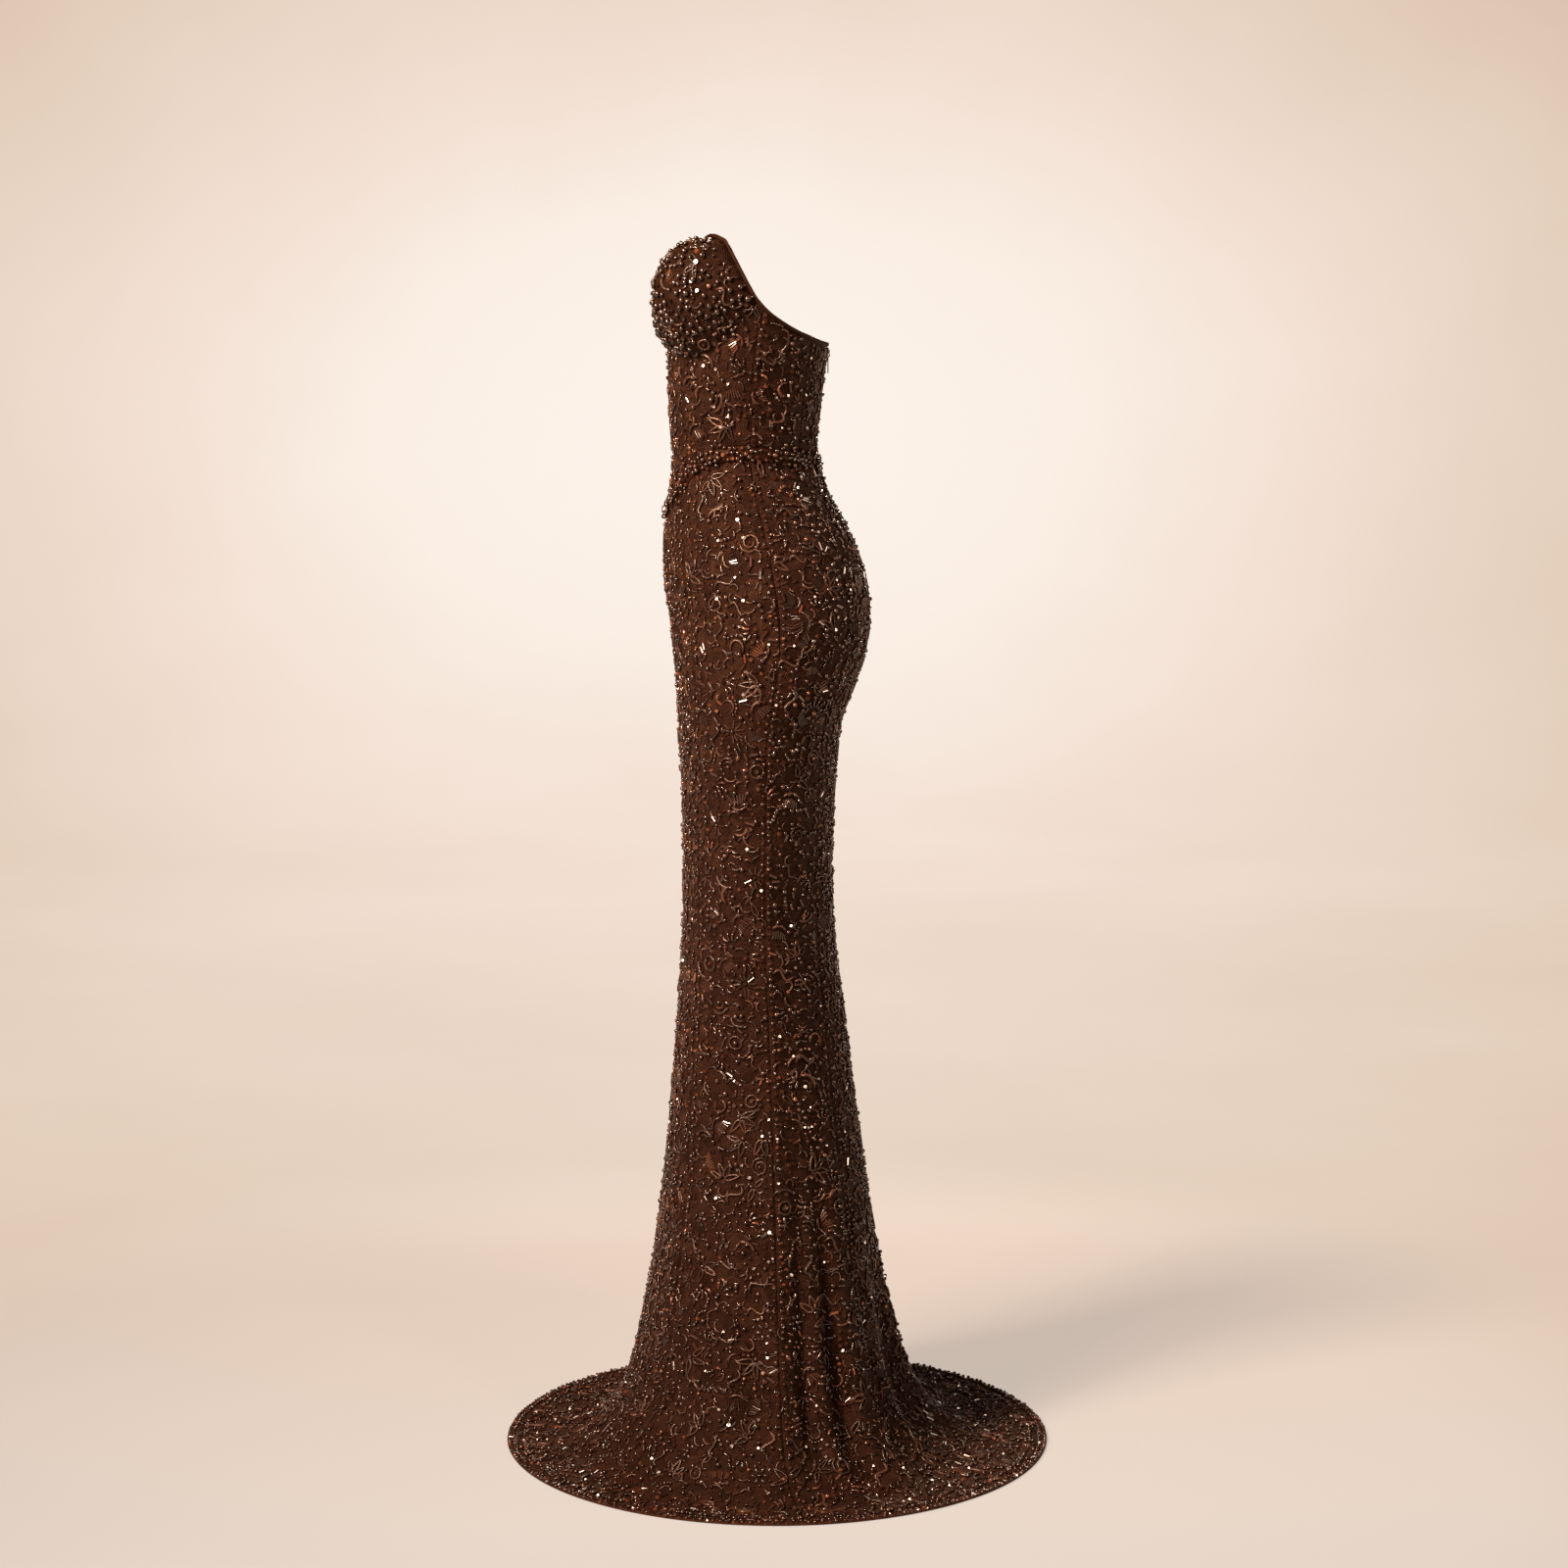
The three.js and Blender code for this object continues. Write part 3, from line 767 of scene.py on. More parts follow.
# The top of the hem, from its inner to its outer edge, for the beads on it
HEM_LOW = 0.05
HEM_HIGH = 0.95
HEM_STEP = 0.05
hem_shares = np.arange(HEM_LOW, HEM_HIGH + HEM_STEP / 2, HEM_STEP)
turn, share = np.meshgrid(np.radians(body_angles), hem_shares)
reach = HEM_INNER + (HEM_OUTER - HEM_INNER) * share
crown = HEM_THICK / 2 * (1 + np.sqrt(1 - (2 * share - 1) ** 2))
ahead = WAIST_FORWARD - reach * np.cos(turn)
hem_points = np.stack([reach * np.sin(turn), ahead, crown - WAIST_HEIGHT], axis=-1)
hem_top = {
    "points": hem_points,
    "normals": grid_normals(hem_points, True),
    "start": (-180, HEM_LOW),
    "step": (ANGLE_STEP, HEM_STEP),
}


# Beads, bugles and couched cord
# Each shape is a small solid of unit size that lies on the cloth: x along it, y across it, z off the cloth.
# Glass seed beads and bugles are cut from drawn tube and fire-polished. Cord is silk, laid in curves and
# couched down with small stitches.
SHAPES = {}


def keep_shape(name, bm, smooth, cord):
    bmesh.ops.triangulate(bm, faces=bm.faces)
    bm.verts.ensure_lookup_table()
    bm.verts.index_update()
    SHAPES[name] = {
        "points": np.array([vert.co for vert in bm.verts]),
        "faces": np.array([[vert.index for vert in face.verts] for face in bm.faces]),
        "smooth": smooth,
        "cord": cord,
    }
    bm.free()


def set_down(name, bm, turned, height, smooth=False):
    """Turns a glass shape about its middle, which then lies at a height over the cloth."""
    bmesh.ops.rotate(bm, verts=bm.verts, cent=(0, 0, 0), matrix=turned)
    bmesh.ops.translate(bm, verts=bm.verts, vec=(0, 0, height))
    keep_shape(name, bm, smooth, False)


def tipped(tip, roll):
    return Matrix.Rotation(math.radians(roll), 3, "X") @ Matrix.Rotation(math.radians(tip), 3, "Y")


def bead_shape(name, fineness, tip, roll):
    """A round bead, tipped over on its thread."""
    bm = bmesh.new()
    bmesh.ops.create_icosphere(bm, subdivisions=fineness, radius=0.5)
    set_down(name, bm, tipped(tip, roll), 0.36, smooth=True)


def rose_cut_shape(name, tip, roll):
    """A flat-backed cut bead with a wide table, tipped over on its thread."""
    bm = bmesh.new()
    bmesh.ops.create_cone(bm, cap_ends=True, segments=6, radius1=0.5, radius2=0.36, depth=0.4)
    set_down(name, bm, tipped(tip, roll), 0.26)


def bugle_shape(name, roll):
    """A six-sided tube bead with closed, pointed ends."""
    bm = bmesh.new()
    bmesh.ops.create_cone(bm, cap_ends=True, segments=6, radius1=0.5, radius2=0.5, depth=0.86)
    ends = [face for face in bm.faces if len(face.verts) == 6]
    for vert in bmesh.ops.poke(bm, faces=ends)["verts"]:
        vert.co.z *= 0.5 / 0.43
    turned = Matrix.Rotation(math.radians(90), 3, "Y") @ Matrix.Rotation(math.radians(roll), 3, "Z")
    set_down(name, bm, turned, 0.38)


def petal_shape(name):
    """A marquise stone: a pointed oval, domed, with a soft ridge along the middle."""
    bm = bmesh.new()
    bmesh.ops.create_circle(bm, cap_ends=True, segments=8, radius=0.5)
    bmesh.ops.poke(bm, faces=bm.faces)
    bmesh.ops.subdivide_edges(bm, edges=[edge for edge in bm.edges if not edge.is_boundary], cuts=1)
    for vert in bm.verts:
        out = min(1, vert.co.xy.length / 0.5)
        vert.co.z = 0.5 * math.sqrt(1 - out * out * 0.99)
        vert.co.y *= 0.95 - 0.5 * abs(vert.co.x) / 0.5
    rim = [edge for edge in bm.edges if edge.is_boundary]
    lowered = bmesh.ops.extrude_edge_only(bm, edges=rim)["geom"]
    lowered = [part for part in lowered if isinstance(part, bmesh.types.BMVert)]
    bmesh.ops.translate(bm, verts=lowered, vec=(0, 0, -0.12))
    bmesh.ops.holes_fill(bm, edges=[edge for edge in bm.edges if edge.is_boundary])
    bmesh.ops.recalc_face_normals(bm, faces=bm.faces)
    keep_shape(name, bm, True, False)


def cord_shape(name, path, thickness, closed=False, cord=True):
    """A round cord, or a curved glass bugle, along a flat path of (x, y) points."""
    bm = bmesh.new()
    count = len(path)
    rings = []
    for i, (x, y) in enumerate(path):
        after = path[(i + 1) % count] if closed or i < count - 1 else path[i]
        before = path[i - 1] if closed or i > 0 else path[i]
        way = math.atan2(after[1] - before[1], after[0] - before[0])
        thick = thickness if closed or 0 < i < count - 1 else thickness * 0.6
        place = Matrix.Translation((x, y, thickness * 0.3)) @ Matrix.Rotation(way, 4, "Z")
        place = place @ Matrix.Rotation(math.radians(90), 4, "Y")
        rings.append(bmesh.ops.create_circle(bm, segments=4, radius=thick / 2, matrix=place)["verts"])
    pairs = list(zip(rings, rings[1:])) + ([(rings[-1], rings[0])] if closed else [])
    for one, two in pairs:
        loops = [edge for edge in bm.edges if all(vert in one for vert in edge.verts)]
        loops += [edge for edge in bm.edges if all(vert in two for vert in edge.verts)]
        bmesh.ops.bridge_loops(bm, edges=loops)
    if not closed:
        bmesh.ops.holes_fill(bm, edges=[edge for edge in bm.edges if edge.is_boundary])
    bmesh.ops.recalc_face_normals(bm, faces=bm.faces)
    keep_shape(name, bm, True, cord)


def polar_path(count, start, end, radius):
    """Points at radius(t) round the middle, from one angle to another in degrees."""
    steps = [i / (count - 1) for i in range(count)]
    turns = [math.radians(start + (end - start) * t) for t in steps]
    return [(radius(t) * math.cos(a), radius(t) * math.sin(a)) for t, a in zip(steps, turns)]


def s_path(count):
    steps = [i / (count - 1) for i in range(count)]
    return [(t - 0.5, 0.2 * math.sin(math.tau * t)) for t in steps]


def leaf_path(count):
    """A pointed loop, like a leaf's outline."""
    turns = [math.tau * i / count for i in range(count)]
    return [(0.5 * math.cos(a), 0.24 * math.sin(a) * math.sin(a / 2) ** 1.2) for a in turns]


for i, (tip, roll) in enumerate(((0, 0), (17, 9), (31, -14))):
    bead_shape(f"bead_{i}", 1, tip, roll)
for i, (tip, roll) in enumerate(((3, 0), (7, 3), (11, -4), (15, 3), (20, 5), (26, -5))):
    rose_cut_shape(f"cut_bead_{i}", tip, roll)
for i, roll in enumerate((0, 12, 24, 37, 48)):
    bugle_shape(f"bugle_{i}", roll)
bead_shape("round_bead", 2, 0, 0)
petal_shape("petal")
cord_shape("arc", polar_path(6, -60, 60, lambda t: 0.5), 0.17)
cord_shape("hook", polar_path(8, -120, 100, lambda t: 0.5 - 0.15 * t), 0.16)
cord_shape("curl", s_path(8), 0.13)
cord_shape("leaf", leaf_path(9), 0.145, closed=True)
cord_shape("ring", polar_path(9, 0, 320, lambda t: 0.44), 0.16, closed=True)
cord_shape("spiral", polar_path(14, 0, 560, lambda t: 0.5 - 0.34 * t), 0.12)
cord_shape("worm", polar_path(5, -36, 36, lambda t: 0.5), 0.2, cord=False)

# Fire-polished glass: smooth and wet-looking, near black to amber, as each piece's own tint picks it. A
# lustre is burnt onto it, so it gleams more than plain glass of index 1.5.
GLASS_TINTS = [
    (0.0, "200e08"), (0.4, "331a10"), (0.7, "422417"), (0.85, "502b1b"), (0.93, "623520"), (1.0, "7a4528"),
]
LUSTRE = {"Roughness": 0.17, "IOR": 1.85, "Specular Tint": linear("fff2e6")}
# Silk rattail cord, spun round a core: a soft gleam on a warmer brown, with the index of silk.
CORD_TINTS = [(0.0, "28140d"), (0.5, "382014"), (0.85, "46291b"), (1.0, "533121")]
SATIN_CORD = {"Roughness": 0.34, "IOR": 1.6, "Specular Tint": linear("fbe4d2")}
CORD_GRAIN = (900, 0.0006)


def tinted(name, stops, finish, grain=None):
    """A material that takes its colour from each small piece's own tint. A grain is a scale and a depth."""
    made, tree, place = new_material(name)
    tint = add_node(tree, "Attribute", attribute_name="tint")
    inputs = {"Base Color": colour_ramp(tree, tint.outputs["Fac"], stops)}
    if grain:
        noise = add_node(tree, "TexNoise", {"Vector": place, "Scale": grain[0], "Detail": 2.0})
        height = {"Height": noise.outputs["Fac"], "Strength": 0.5, "Distance": grain[1]}
        inputs["Normal"] = add_node(tree, "Bump", height).outputs[0]
    return shown(made, "BsdfPrincipled", {**inputs, **finish})


glass = tinted("fire_polished_glass", GLASS_TINTS, LUSTRE)
silk = tinted("silk_cord", CORD_TINTS, SATIN_CORD, CORD_GRAIN)


def tangents(surface, u, v):
    """Steps of the surface for one degree across and one unit down."""
    du, dv = surface["step"]
    right = surface_at(surface, u + du, v)[0] - surface_at(surface, u - du, v)[0]
    below = surface_at(surface, u, v + dv)[0] - surface_at(surface, u, v - dv)[0]
    return right / (2 * du), below / (2 * dv)


def flat_frame(surface, u, v):
    """Turns metres across and up at a place on the cloth into steps of its u and v."""
    right, below = tangents(surface, u, v)
    normal = surface_at(surface, u, v)[1]
    across = unit(right)
    up = np.cross(normal, across)
    v_per_up = 1 / (below * up).sum(-1)
    slant = (below * across).sum(-1)
    u_per_across = 1 / np.linalg.norm(right, axis=-1)
    return u_per_across, v_per_up, slant


def moved(frame_at, u, v, across, up):
    u_per_across, v_per_up, slant = frame_at
    dv = up * v_per_up
    return u + (across - dv * slant) * u_per_across, v + dv


# One row for each small piece: shape, u, v, turn, length, width, height, lift, tint
ROW = {"u": 0, "v": 1, "turn": 2, "length": 3, "width": 4, "height": 5, "lift": 6, "tint": 7}


def bead_work(name, surface, rows):
    """Joins small pieces into one mesh that follows the cloth under it, of glass and of cord."""
    points, faces, tints, smooth, cords, start = [], [], [], [], [], 0
    for shape_name, shape in SHAPES.items():
        own = np.array([row[1:] for row in rows if row[0] == shape_name], float)
        if not len(own):
            continue
        part = {key: own[:, place, None] for key, place in ROW.items()}
        x = shape["points"][None, :, 0] * part["length"]
        y = shape["points"][None, :, 1] * part["width"]
        cosine, sine = np.cos(part["turn"]), np.sin(part["turn"])
        frame_at = flat_frame(surface, part["u"], part["v"])
        u, v = moved(frame_at, part["u"], part["v"], x * cosine - y * sine, x * sine + y * cosine)
        at, normal = surface_at(surface, u, v)
        rise = shape["points"][None, :, 2] * part["height"] + part["lift"]
        points.append((at + normal * rise[..., None]).reshape(-1, 3))
        count = len(shape["points"])
        first = start + np.arange(len(own))[:, None, None] * count
        faces.append((shape["faces"][None] + first).reshape(-1, 3))
        tints.append(np.repeat(own[:, ROW["tint"]], count))
        smooth.append(np.full(len(faces[-1]), shape["smooth"]))
        cords.append(np.full(len(faces[-1]), int(shape["cord"])))
        start += len(own) * count
    points, faces = np.concatenate(points), np.concatenate(faces)
    mesh = bpy.data.meshes.new(name)
    mesh.vertices.add(len(points))
    mesh.vertices.foreach_set("co", points.ravel())
    mesh.loops.add(faces.size)
    mesh.loops.foreach_set("vertex_index", faces.ravel().astype(np.int32))
    mesh.polygons.add(len(faces))
    mesh.polygons.foreach_set("loop_start", np.arange(0, faces.size, 3, dtype=np.int32))
    made = new_piece(name, mesh, glass, silk)
    mesh.polygons.foreach_set("material_index", np.concatenate(cords).astype(np.int32))
    mesh.polygons.foreach_set("use_smooth", np.concatenate(smooth))
    tint = mesh.attributes.new("tint", "FLOAT", "POINT")
    tint.data.foreach_set("value", np.concatenate(tints).astype(np.float32))
    mesh.update()
    mesh.validate()
    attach(made, "gown")


# Motifs
# The embroiderer works from a few motifs, turned and mixed: sunbursts and combs of bugles, sprays of leaf
# loops, curls with beads along them, spirals, nested arcs, stone flowers, trails and fans, each 25 to 40 mm
# wide. All are sewn down piece by piece. Sizes are in metres, turns in radians.
SEED = 41
TRAIN_STATION = 24  # below this row of the sections the cloth lies on the floor
work_draws = np.random.default_rng(SEED)


def mixed_tint(share, light, dark):
    """A tint from the light range for that share of the pieces, and from the dark one for the others."""
    return work_draws.uniform(*(light if work_draws.random() < share else dark))


def glass_tint():
    """Most glass is dark. About one piece in twenty is amber."""
    return mixed_tint(0.05, (0.9, 1.0), (0.0, 0.8))


def motif_tint(share):
    return mixed_tint(share, (0.8, 0.92), (0.1, 0.7))


def small_bead():
    return f"bead_{work_draws.integers(3)}"


def any_bead():
    """Half of the beads are round, the others rose-cut."""
    return small_bead() if work_draws.random() < 0.5 else f"cut_bead_{work_draws.integers(6)}"


def lean(shape, v):
    """A cut bead hangs from its thread, so on upright cloth its table leans up. Other pieces lie any way."""
    hangs = shape.startswith("cut_bead") and v < TRAIN_STATION
    return work_draws.normal(math.pi / 2, 0.9) if hangs else work_draws.uniform(0, math.tau)


def any_bugle():
    return f"bugle_{work_draws.integers(5)}"


def bead_row(x, y, size):
    size *= work_draws.uniform(0.88, 1.15)
    return (any_bead(), x, y, 0.0, size, size, size, glass_tint())


def bugle_row(x, y, turn, length, thick=0.0026, tint=None):
    turn += work_draws.uniform(-0.08, 0.08)
    return (any_bugle(), x, y, turn, length, thick, thick, glass_tint() if tint is None else tint)


def worm_row(x, y, turn, length):
    """A curved bugle. Its arc lies off its own middle, so it is set back by nine tenths of its radius."""
    turn += work_draws.uniform(-0.2, 0.2)
    x, y = x - 0.45 * length * math.cos(turn), y - 0.45 * length * math.sin(turn)
    return ("worm", x, y, turn, length, length, 1.1 * length, glass_tint())


def cord_row(shape, x, y, turn, length, width=None):
    length *= work_draws.uniform(0.9, 1.1)
    width = (width or length) * work_draws.uniform(0.85, 1.15)
    turn += work_draws.uniform(-0.2, 0.2)
    return (shape, x, y, turn, length, width, 1.25 * length, work_draws.uniform(0, 1))


def around(radius, turn):
    return radius * math.cos(turn), radius * math.sin(turn)


def sunburst():
    rays = work_draws.integers(9, 13)
    tint = motif_tint(0.12)
    made = [bead_row(0, 0, 0.0052)]
    for i in range(rays):
        turn = math.tau * (i + work_draws.uniform(-0.15, 0.15)) / rays
        length = work_draws.uniform(0.0085, 0.0115)
        made.append(bugle_row(*around(0.0042 + length / 2, turn), turn, length, 0.0023, tint))
    return made


def comb():
    tint = motif_tint(0.15)
    made = []
    for i in range(-3, 4):
        turn = math.pi / 2 - i * 0.13
        length = 0.0125 - 0.0008 * abs(i)
        made.append(bugle_row(0.0031 * i, 0.002 + 0.0006 * abs(i), turn, length, 0.0021, tint))
    made.append(cord_row("arc", 0, -0.0005, -math.pi / 2, 0.020, 0.022))
    made += [bead_row(x, y, 0.0046) for x, y in ((-0.0125, 0.0095), (0.013, 0.008))]
    return made


def leaf_spray():
    made = [bead_row(0, -0.0085, 0.0052)]
    for turn in (0.35, 1.2, 1.95, 2.8):
        length = work_draws.uniform(0.018, 0.022)
        x, y = around(0.0125, turn)
        made.append(cord_row("leaf", x, y - 0.006, turn, length, length * work_draws.uniform(0.85, 1.15)))
    return made


def curls():
    made = [
        cord_row("curl", 0, 0.001, 0.4, 0.027, 0.032),
        cord_row("hook", 0.0115, -0.0075, 1.2, 0.015),
        cord_row("arc", -0.011, -0.0085, 2.4, 0.017),
    ]
    for x, y in ((-0.008, 0.010), (-0.0025, 0.012), (0.003, 0.0125), (0.0155, 0.006), (-0.0165, 0.001)):
        made.append(bead_row(x, y, 0.0046))
    return made


def spiral():
    made = [cord_row("spiral", 0, 0, 0, 0.026), bead_row(0, 0, 0.0056)]
    return made + [bead_row(*around(0.0168, turn), 0.0044) for turn in (0.6, 1.0, 2.4, 4.4)]


def nested_arcs():
    made = [
        cord_row("arc", 0.002, 0, 0, 0.024, 0.024),
        cord_row("arc", -0.0005, 0, 0, 0.015, 0.015),
        cord_row("arc", -0.011, 0.001, 2.9, 0.018, 0.018),
    ]
    made += [bead_row(0.0005, 0, 0.0052), bead_row(-0.0075, 0.0095, 0.0044), bead_row(-0.008, -0.009, 0.0044)]
    return made + [bugle_row(0.0175, 0.006, 1.3, 0.009), bugle_row(0.0175, -0.006, -1.3, 0.009)]


def flower():
    tint = motif_tint(0.12)
    made = [bead_row(0, 0, 0.0054)]
    for i in range(6):
        turn = math.tau * i / 6
        made.append(("petal", *around(0.0078, turn), turn, 0.0105, 0.0058, 0.0052, tint))
        made.append(bead_row(*around(0.0142, turn + 0.52), 0.0036))
    return made


def ringlet():
    made = [cord_row("ring", 0, 0, 0, 0.019), bead_row(0, 0, 0.0062)]
    made.append(cord_row("arc", 0.0095, 0.0015, 0.2, 0.024, 0.026))
    made.append(("petal", -0.0145, 0, 0.0, 0.011, 0.0062, 0.0052, glass_tint()))
    return made + [bead_row(-0.0125, 0.008, 0.0042), bead_row(-0.0125, -0.008, 0.0042)]


def strung_arc():
    made = [cord_row("hook", 0, 0, 0, 0.020, 0.020)]
    for i in range(8):
        made.append(bead_row(*around(0.0142, -1.6 + 0.37 * i), 0.0042))
    return made


def bead_trail():
    """A wavy line of beads with curved bugles branching off it."""
    made = []
    for i in range(-4, 5):
        x, y = 0.0041 * i, 0.003 * math.sin(i * 0.9)
        made.append(bead_row(x, y, 0.0050 - 0.0002 * abs(i)))
    branches = ((-0.010, 0.0078, 0.9), (-0.001, -0.0085, 2.3), (0.008, 0.008, 0.5), (0.0125, -0.007, 2.0))
    for x, y, turn in branches:
        made.append(worm_row(x, y, turn, 0.0155))
    return made


def worm_fan():
    """Five curved bugles that fan out from a bead."""
    made = [bead_row(0, -0.008, 0.0056)]
    for i in range(-2, 3):
        turn = math.pi / 2 - 0.5 * i
        x, y = around(0.0115, turn)
        made.append(worm_row(x, y - 0.008, turn + math.pi / 2, 0.0165))
        x, y = around(0.0185, turn)
        made.append(bead_row(x, y - 0.008, 0.0044))
    return made


MOTIFS = [  # each with its share
    (sunburst, 0.05), (comb, 0.15), (leaf_spray, 0.10), (curls, 0.12), (spiral, 0.03), (nested_arcs, 0.13),
    (flower, 0.03), (ringlet, 0.03), (strung_arc, 0.10), (bead_trail, 0.12), (worm_fan, 0.14),
]


def crowded(place, taken, gap):
    """Whether a taken place lies closer than the gap. Taken places are sorted into cubes of that size."""
    home = np.floor(place / gap).astype(int)
    near = (
        other
        for a in (-1, 0, 1) for b in (-1, 0, 1) for c in (-1, 0, 1)
        for other in taken.get((home[0] + a, home[1] + b, home[2] + c), ())
    )
    x, y, z = place
    return any((x - o[0]) ** 2 + (y - o[1]) ** 2 + (z - o[2]) ** 2 < gap**2 for o in near)


def take(place, taken, gap):
    taken.setdefault(tuple(np.floor(place / gap).astype(int)), []).append(place)


def scatter(surface, low, high, spacing, tries):
    """Places on part of a surface, at random but never closer together than the spacing."""
    du, dv = surface["step"]
    rows, columns = surface["points"].shape[:2]
    across = np.linalg.norm(np.diff(surface["points"], axis=1)[:-1], axis=2)
    down = np.linalg.norm(np.diff(surface["points"], axis=0)[:, :-1], axis=2)
    column = surface["start"][0] + np.arange(columns - 1) * du
    row = surface["start"][1] + np.arange(rows - 1)[:, None] * dv
    within = (column > low[0] - du) & (column < high[0]) & (row > low[1] - dv) & (row < high[1])
    share = np.cumsum((across * down * within).ravel())
    cell = np.searchsorted(share, work_draws.random(tries) * share[-1])
    i, j = np.divmod(cell, columns - 1)
    u = surface["start"][0] + (j + work_draws.random(tries)) * du
    v = surface["start"][1] + (i + work_draws.random(tries)) * dv
    inside = (u > low[0]) & (u < high[0]) & (v > low[1]) & (v < high[1])
    u, v = u[inside], v[inside]
    kept, taken = [], {}
    for k, place in enumerate(surface_at(surface, u, v)[0]):
        if not crowded(place, taken, spacing):
            take(place, taken, spacing)
            kept.append(k)
    return u[kept], v[kept]


MISSED = 0.1  # of the small pieces, so that no two motifs are alike


def place_motifs(surface, places, scale):
    """Small-piece rows of a motif at each place, turned at random."""
    names = work_draws.choice(len(MOTIFS), len(places[0]), p=np.array([m[1] for m in MOTIFS]))
    frames = flat_frame(surface, places[0], places[1])
    rows = []
    for k, pick in enumerate(names):
        spin = work_draws.uniform(0, math.tau)
        grow = scale * work_draws.uniform(0.9, 1.15)
        here = tuple(values[k] for values in frames)
        for shape, x, y, turn, length, width, height, tint in MOTIFS[pick][0]():
            if work_draws.random() < MISSED:
                continue
            across = grow * (x * math.cos(spin) - y * math.sin(spin))
            up = grow * (x * math.sin(spin) + y * math.cos(spin))
            u, v = moved(here, places[0][k], places[1][k], across, up)
            turn = lean(shape, v) if "bead" in shape else turn + spin
            rows.append((shape, u, v, turn, length * grow, width * grow, height * grow, 0.0, tint))
    return rows


def fill_between(surface, low, high, spacing, tries, rows, gap):
    """Loose beads, bugles, stones and small curves wherever the motifs leave the cloth bare."""
    taken = {}
    places = np.array([row[1:3] for row in rows])
    for place in surface_at(surface, places[:, 0], places[:, 1])[0]:
        take(place, taken, gap)
    u, v = scatter(surface, low, high, spacing, tries)
    made = []
    for k, place in enumerate(surface_at(surface, u, v)[0]):
        if crowded(place, taken, gap):
            continue
        pick = work_draws.random()
        if pick < 0.5:
            shape, length, width, tint = any_bead(), 0.0050, 0.0050, glass_tint()
        elif pick < 0.62:
            shape, length, width, tint = any_bugle(), 0.0095, 0.0028, glass_tint()
        elif pick < 0.66:
            shape, length, width, tint = "petal", 0.009, 0.0054, work_draws.uniform(0.1, 0.9)
        elif pick < 0.82:
            shape, length, width, tint = "worm", 0.014, 0.014, glass_tint()
        else:
            shape, length, width, tint = "arc", 0.013, 0.013, work_draws.uniform(0, 1)
        turn, grow = lean(shape, v[k]), work_draws.uniform(0.8, 1.25)
        height = 1.2 * length if shape in ("arc", "worm") else width
        made.append((shape, u[k], v[k], turn, length * grow, width * grow, height * grow, 0.0, tint))
    return made


# Bead work of skirt and bodice
# The motifs' middles lie at least 24 mm apart, so that their ends run into each other, with loose beads and
# arcs between. No piece has its middle on a seam or an edge.
MOTIF_SPACING = 0.0244
MOTIF_SCALE = 0.9
MOTIF_TRIES = 50000
FILL_SPACING = 0.0062
FILL_TRIES = 90000
FILL_GAP = 0.0055
EDGE_CLEAR = 0.0012
REACH = 0.3  # the share of a piece's length that it may need on each side of its middle
ZIP_HALF_WIDTH = 0.0035  # bare cloth that the zip's slider and tab need on each side of the centre back
ZIP_FOOT = 0.094


def keep_clear(surface, rows, turns, top, bottom, clear):
    """Rows whose middles lie inside a panel, clear of its seams and edges and of the zip's tab."""
    u, v = np.array([row[1] for row in rows]), np.array([row[2] for row in rows])
    right, below = [np.linalg.norm(step, axis=-1) for step in tangents(surface, u, v)]
    reach = np.array([REACH * row[4] for row in rows]) + clear
    inside = ((u - turns[0]) * right > reach) & ((turns[1] - u) * right > reach)
    inside &= ((v - top(u)) * below > reach) & ((bottom(u) - v) * below > reach)
    place = surface_at(surface, u, v)[0]
    inside &= (np.abs(place[:, 0]) > reach + ZIP_HALF_WIDTH) | (place[:, 1] < 0) | (place[:, 2] < ZIP_FOOT)
    return [row for row, keep in zip(rows, inside) if keep]


whole = (body, (-180, 2), (180, LAST_STATION))
all_rows = place_motifs(body, scatter(*whole, MOTIF_SPACING, MOTIF_TRIES), MOTIF_SCALE)
all_rows += fill_between(*whole, FILL_SPACING, FILL_TRIES, all_rows, FILL_GAP)
for name, turns in PANELS.items():
    mine = [row for row in all_rows if turns[0] < row[1] < turns[1]]
    for part, top, bottom in (("gore", gore_top, gore_bottom), ("panel", bodice_top, bodice_bottom)):
        bead_work(f"{part}_{name}_beads", body, keep_clear(body, mine, turns, top, bottom, EDGE_CLEAR))


# Bead work of the cups
# The same motifs lie under larger, darker round beads, which are sewn close together and stand proud of them,
# so the cups' outline is knobbly.
CUP_MOTIF_SPACING = 0.0240
CUP_MOTIF_TRIES = 6000
CUP_BEAD_SPACING = 0.0082
CUP_BEAD_TRIES = 12000
CUP_BEAD_SIZES = (0.0040, 0.0074)
CUP_BEAD_LIFT = 0.0004
CUP_MARGIN = 0.015
for side, turns in CUP_TURNS.items():
    surface = cup_surfaces[side]
    within = (surface, (turns[0], CUP_MARGIN), (turns[1], 1 - CUP_MARGIN))
    rows = place_motifs(surface, scatter(*within, CUP_MOTIF_SPACING, CUP_MOTIF_TRIES), MOTIF_SCALE)
    rows = keep_clear(surface, rows, turns, cup_top, cup_bottom, 0.0)
    for u, v in zip(*scatter(*within, CUP_BEAD_SPACING, CUP_BEAD_TRIES)):
        size = work_draws.uniform(*CUP_BEAD_SIZES)
        shape = "round_bead" if work_draws.random() < 0.55 else any_bead()
        tint = mixed_tint(0.03, (0.84, 0.95), (0.0, 0.3))
        turn = work_draws.uniform(0, math.tau)
        rows.append((shape, u, v, turn, size, size, 0.9 * size, CUP_BEAD_LIFT, tint))
    bead_work(f"cup_{side}_beads", surface, rows)


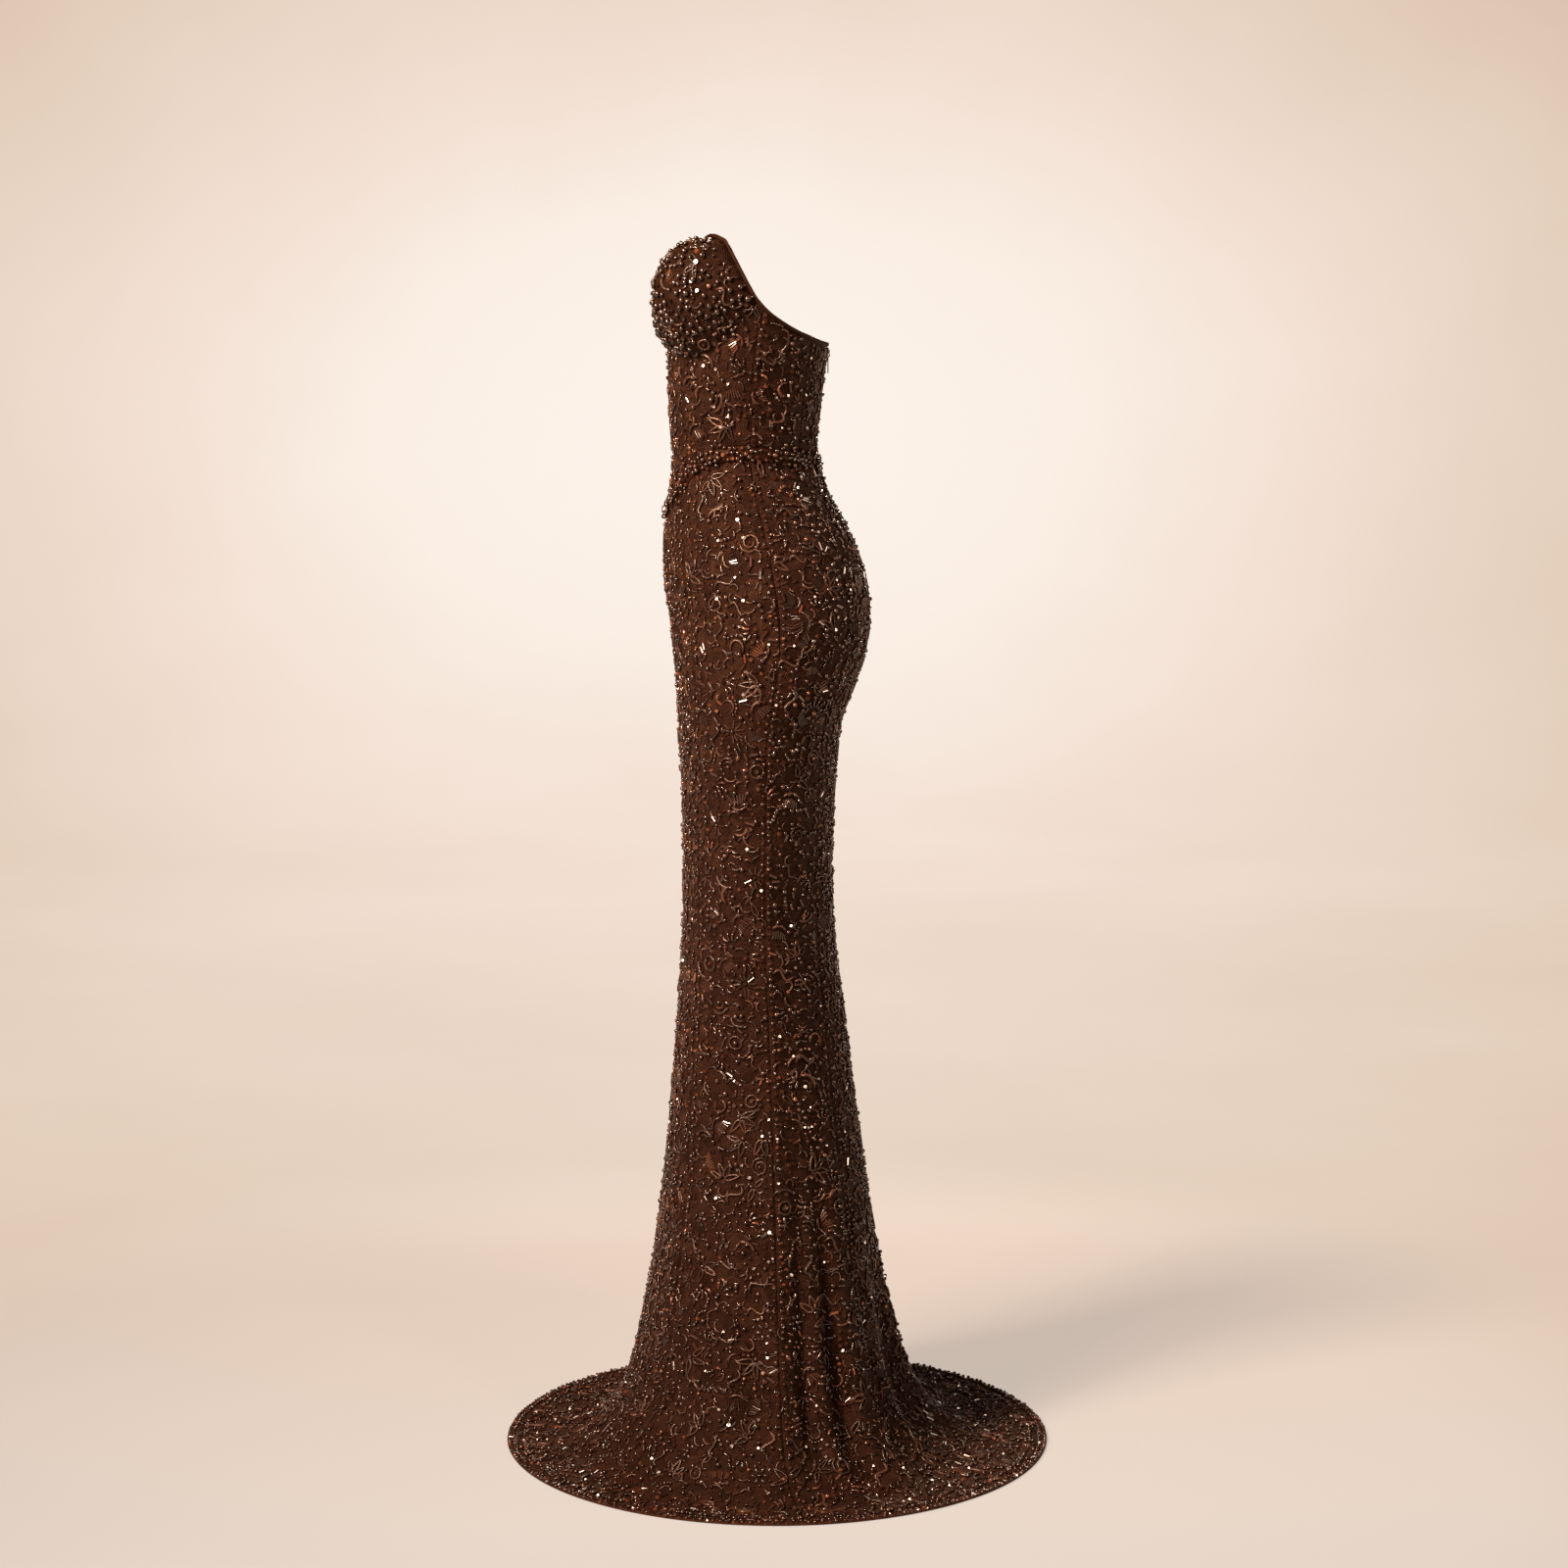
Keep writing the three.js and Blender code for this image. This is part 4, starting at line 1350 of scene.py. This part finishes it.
# Beads along the seams, the waist and the hem
# Strings of small beads run beside each seam and just inside the hem, on a thread that is couched down. Two
# rows of beads and one of bugles cover the hem. The waist band is a thick roll of beads.
BODY_MIDDLE = (0, 0.03)  # near enough the point that the seams' angles are measured from
SEAM_TURNS = (-138, -96, -42, 42, 96, 138)
SEAM_OFFSET = 0.0052
SEAM_STRING_END = LAST_STATION - 0.2
SEAM_STRINGS = [
    # side, spacing, bead size, unevenness
    (1, 0.0085, 0.0042, 0.0018),
    (-1, 0.0120, 0.0040, 0.0030),
]
BODICE_STRING = (0.0085, 0.0040, 0.0, 0.0015)  # spacing, bead size, lift, unevenness
BODICE_OFFSET = 1.9  # degrees
HEM_STRING = (0.009, 0.0052, 0.0, 0.0015)
HEM_STRING_PLACE = LAST_STATION - 0.15
HEM_ROWS = [
    # place across the hem, then as above
    (0.22, 0.0066, 0.0040, -0.0004, 0.0010),
    (0.74, 0.0082, 0.0044, -0.0006, 0.0015),
]
HEM_BUGLE_STEP = 1.7  # degrees
HEM_BUGLES = (0.006, 0.0078)
HEM_BUGLE_THICK = 0.0024
HEM_BUGLE_LIFT = -0.0003
BAND_BEAD_SPACING = 0.0050
BAND_BEAD_TRIES = 60000
BAND_BEADS = (0.0042, 0.0064)
BAND_HEAP = 0.0012
BAND_REACH = 0.6  # the beads cover this share of the band's width on each side of its middle
BAND_TOP = float(gore_top(90)) - 1.6
BACK_GAP = 2  # degrees without beads on each side of the centre back


def strung(surface, path, spacing, size, lift, jitter):
    """Beads at nearly even steps along a path of (u, v) points."""
    u, v = path
    places = surface_at(surface, u, v)[0]
    run = np.concatenate([[0], np.cumsum(np.linalg.norm(np.diff(places, axis=0), axis=1))])
    steps = np.arange(spacing / 2, run[-1], spacing)
    rows = []
    for along in steps + work_draws.uniform(-jitter, jitter, len(steps)):
        big = size * work_draws.uniform(0.85, 1.15)
        place = (np.interp(along, run, u), np.interp(along, run, v))
        shape = any_bead()
        rows.append((shape, *place, lean(shape, place[1]), big, big, big, lift, glass_tint()))
    return rows


seam_rows = []
for turn in SEAM_TURNS:
    v = np.linspace(float(gore_top(turn)), SEAM_STRING_END, 900)
    radius = np.linalg.norm(ring_point(np.full(900, turn), v)[:, :2] - BODY_MIDDLE, axis=1)
    away = np.degrees(SEAM_OFFSET / radius)
    for side, spacing, size, jitter in SEAM_STRINGS:
        seam_rows += strung(body, (turn + side * away, v), spacing, size, 0.0, jitter)
    v = np.linspace(float(bodice_top(turn)), float(bodice_bottom(turn)), 200)
    seam_rows += strung(body, (np.full(200, turn + BODICE_OFFSET), v), *BODICE_STRING)
bead_work("seam_beads", body, seam_rows)

circle = np.linspace(-180, 180, 2000)
hem_path = (circle, np.full_like(circle, HEM_STRING_PLACE))
bead_work("beads_inside_hem", body, strung(body, hem_path, *HEM_STRING))
edge_rows = []
for share, *string in HEM_ROWS:
    edge_rows += strung(hem_top, (circle, np.full_like(circle, share)), *string)
for turn in np.arange(-179.5, 180, HEM_BUGLE_STEP):
    tilt = math.pi / 2 + work_draws.uniform(-0.5, 0.5)
    size = work_draws.uniform(*HEM_BUGLES)
    sides = (size, HEM_BUGLE_THICK, HEM_BUGLE_THICK)
    edge_rows.append((any_bugle(), turn, 0.5, tilt, *sides, HEM_BUGLE_LIFT, glass_tint()))
bead_work("hem_beads", hem_top, edge_rows)

band_rows = []
within = (body, (-180, BAND_TOP), (180, float(gore_top(0))))
for u, v in zip(*scatter(*within, BAND_BEAD_SPACING, BAND_BEAD_TRIES)):
    share = (float(basque_height(u)) - WAIST_HEIGHT - surface_at(body, u, v)[0][2]) / BASQUE_WIDTH
    if abs(share) < BAND_REACH and abs(u) < 180 - BACK_GAP:
        size = work_draws.uniform(*BAND_BEADS)
        shape = small_bead() if work_draws.random() < 0.5 else any_bead()
        crown = math.cos(math.pi * min(0.5, abs(share))) ** 0.7
        lift = BAND_RISE * crown + work_draws.uniform(0, BAND_HEAP)
        band_rows.append((shape, u, v, lean(shape, v), size, size, size, lift, glass_tint()))
bead_work("waist_band_beads", body, band_rows)


# Zip slider and tab
# Die-cast zinc with a mottled dark bronze enamel. The slider sits at the top of the closed centre back, and
# the tab hangs from it.
def bronze_enamel(name):
    made, tree, place = new_material(name)
    speck = add_node(tree, "TexNoise", {"Vector": place, "Scale": 700.0, "Detail": 3.0})
    bump = add_node(tree, "Bump", {"Height": speck.outputs["Fac"], "Strength": 0.2, "Distance": 0.0001})
    return shown(made, "BsdfPrincipled", {
        "Base Color": colour_ramp(tree, speck.outputs["Fac"], [(0.3, "33241b"), (0.7, "5a4434")]),
        "Metallic": 0.85,
        "Roughness": 0.34,
        "Normal": bump.outputs[0],
    })


enamel = bronze_enamel("bronze_enamel")
for name in ("zip_slider", "zip_tab"):
    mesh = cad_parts[name].data
    mesh.materials.clear()
    mesh.materials.append(enamel)
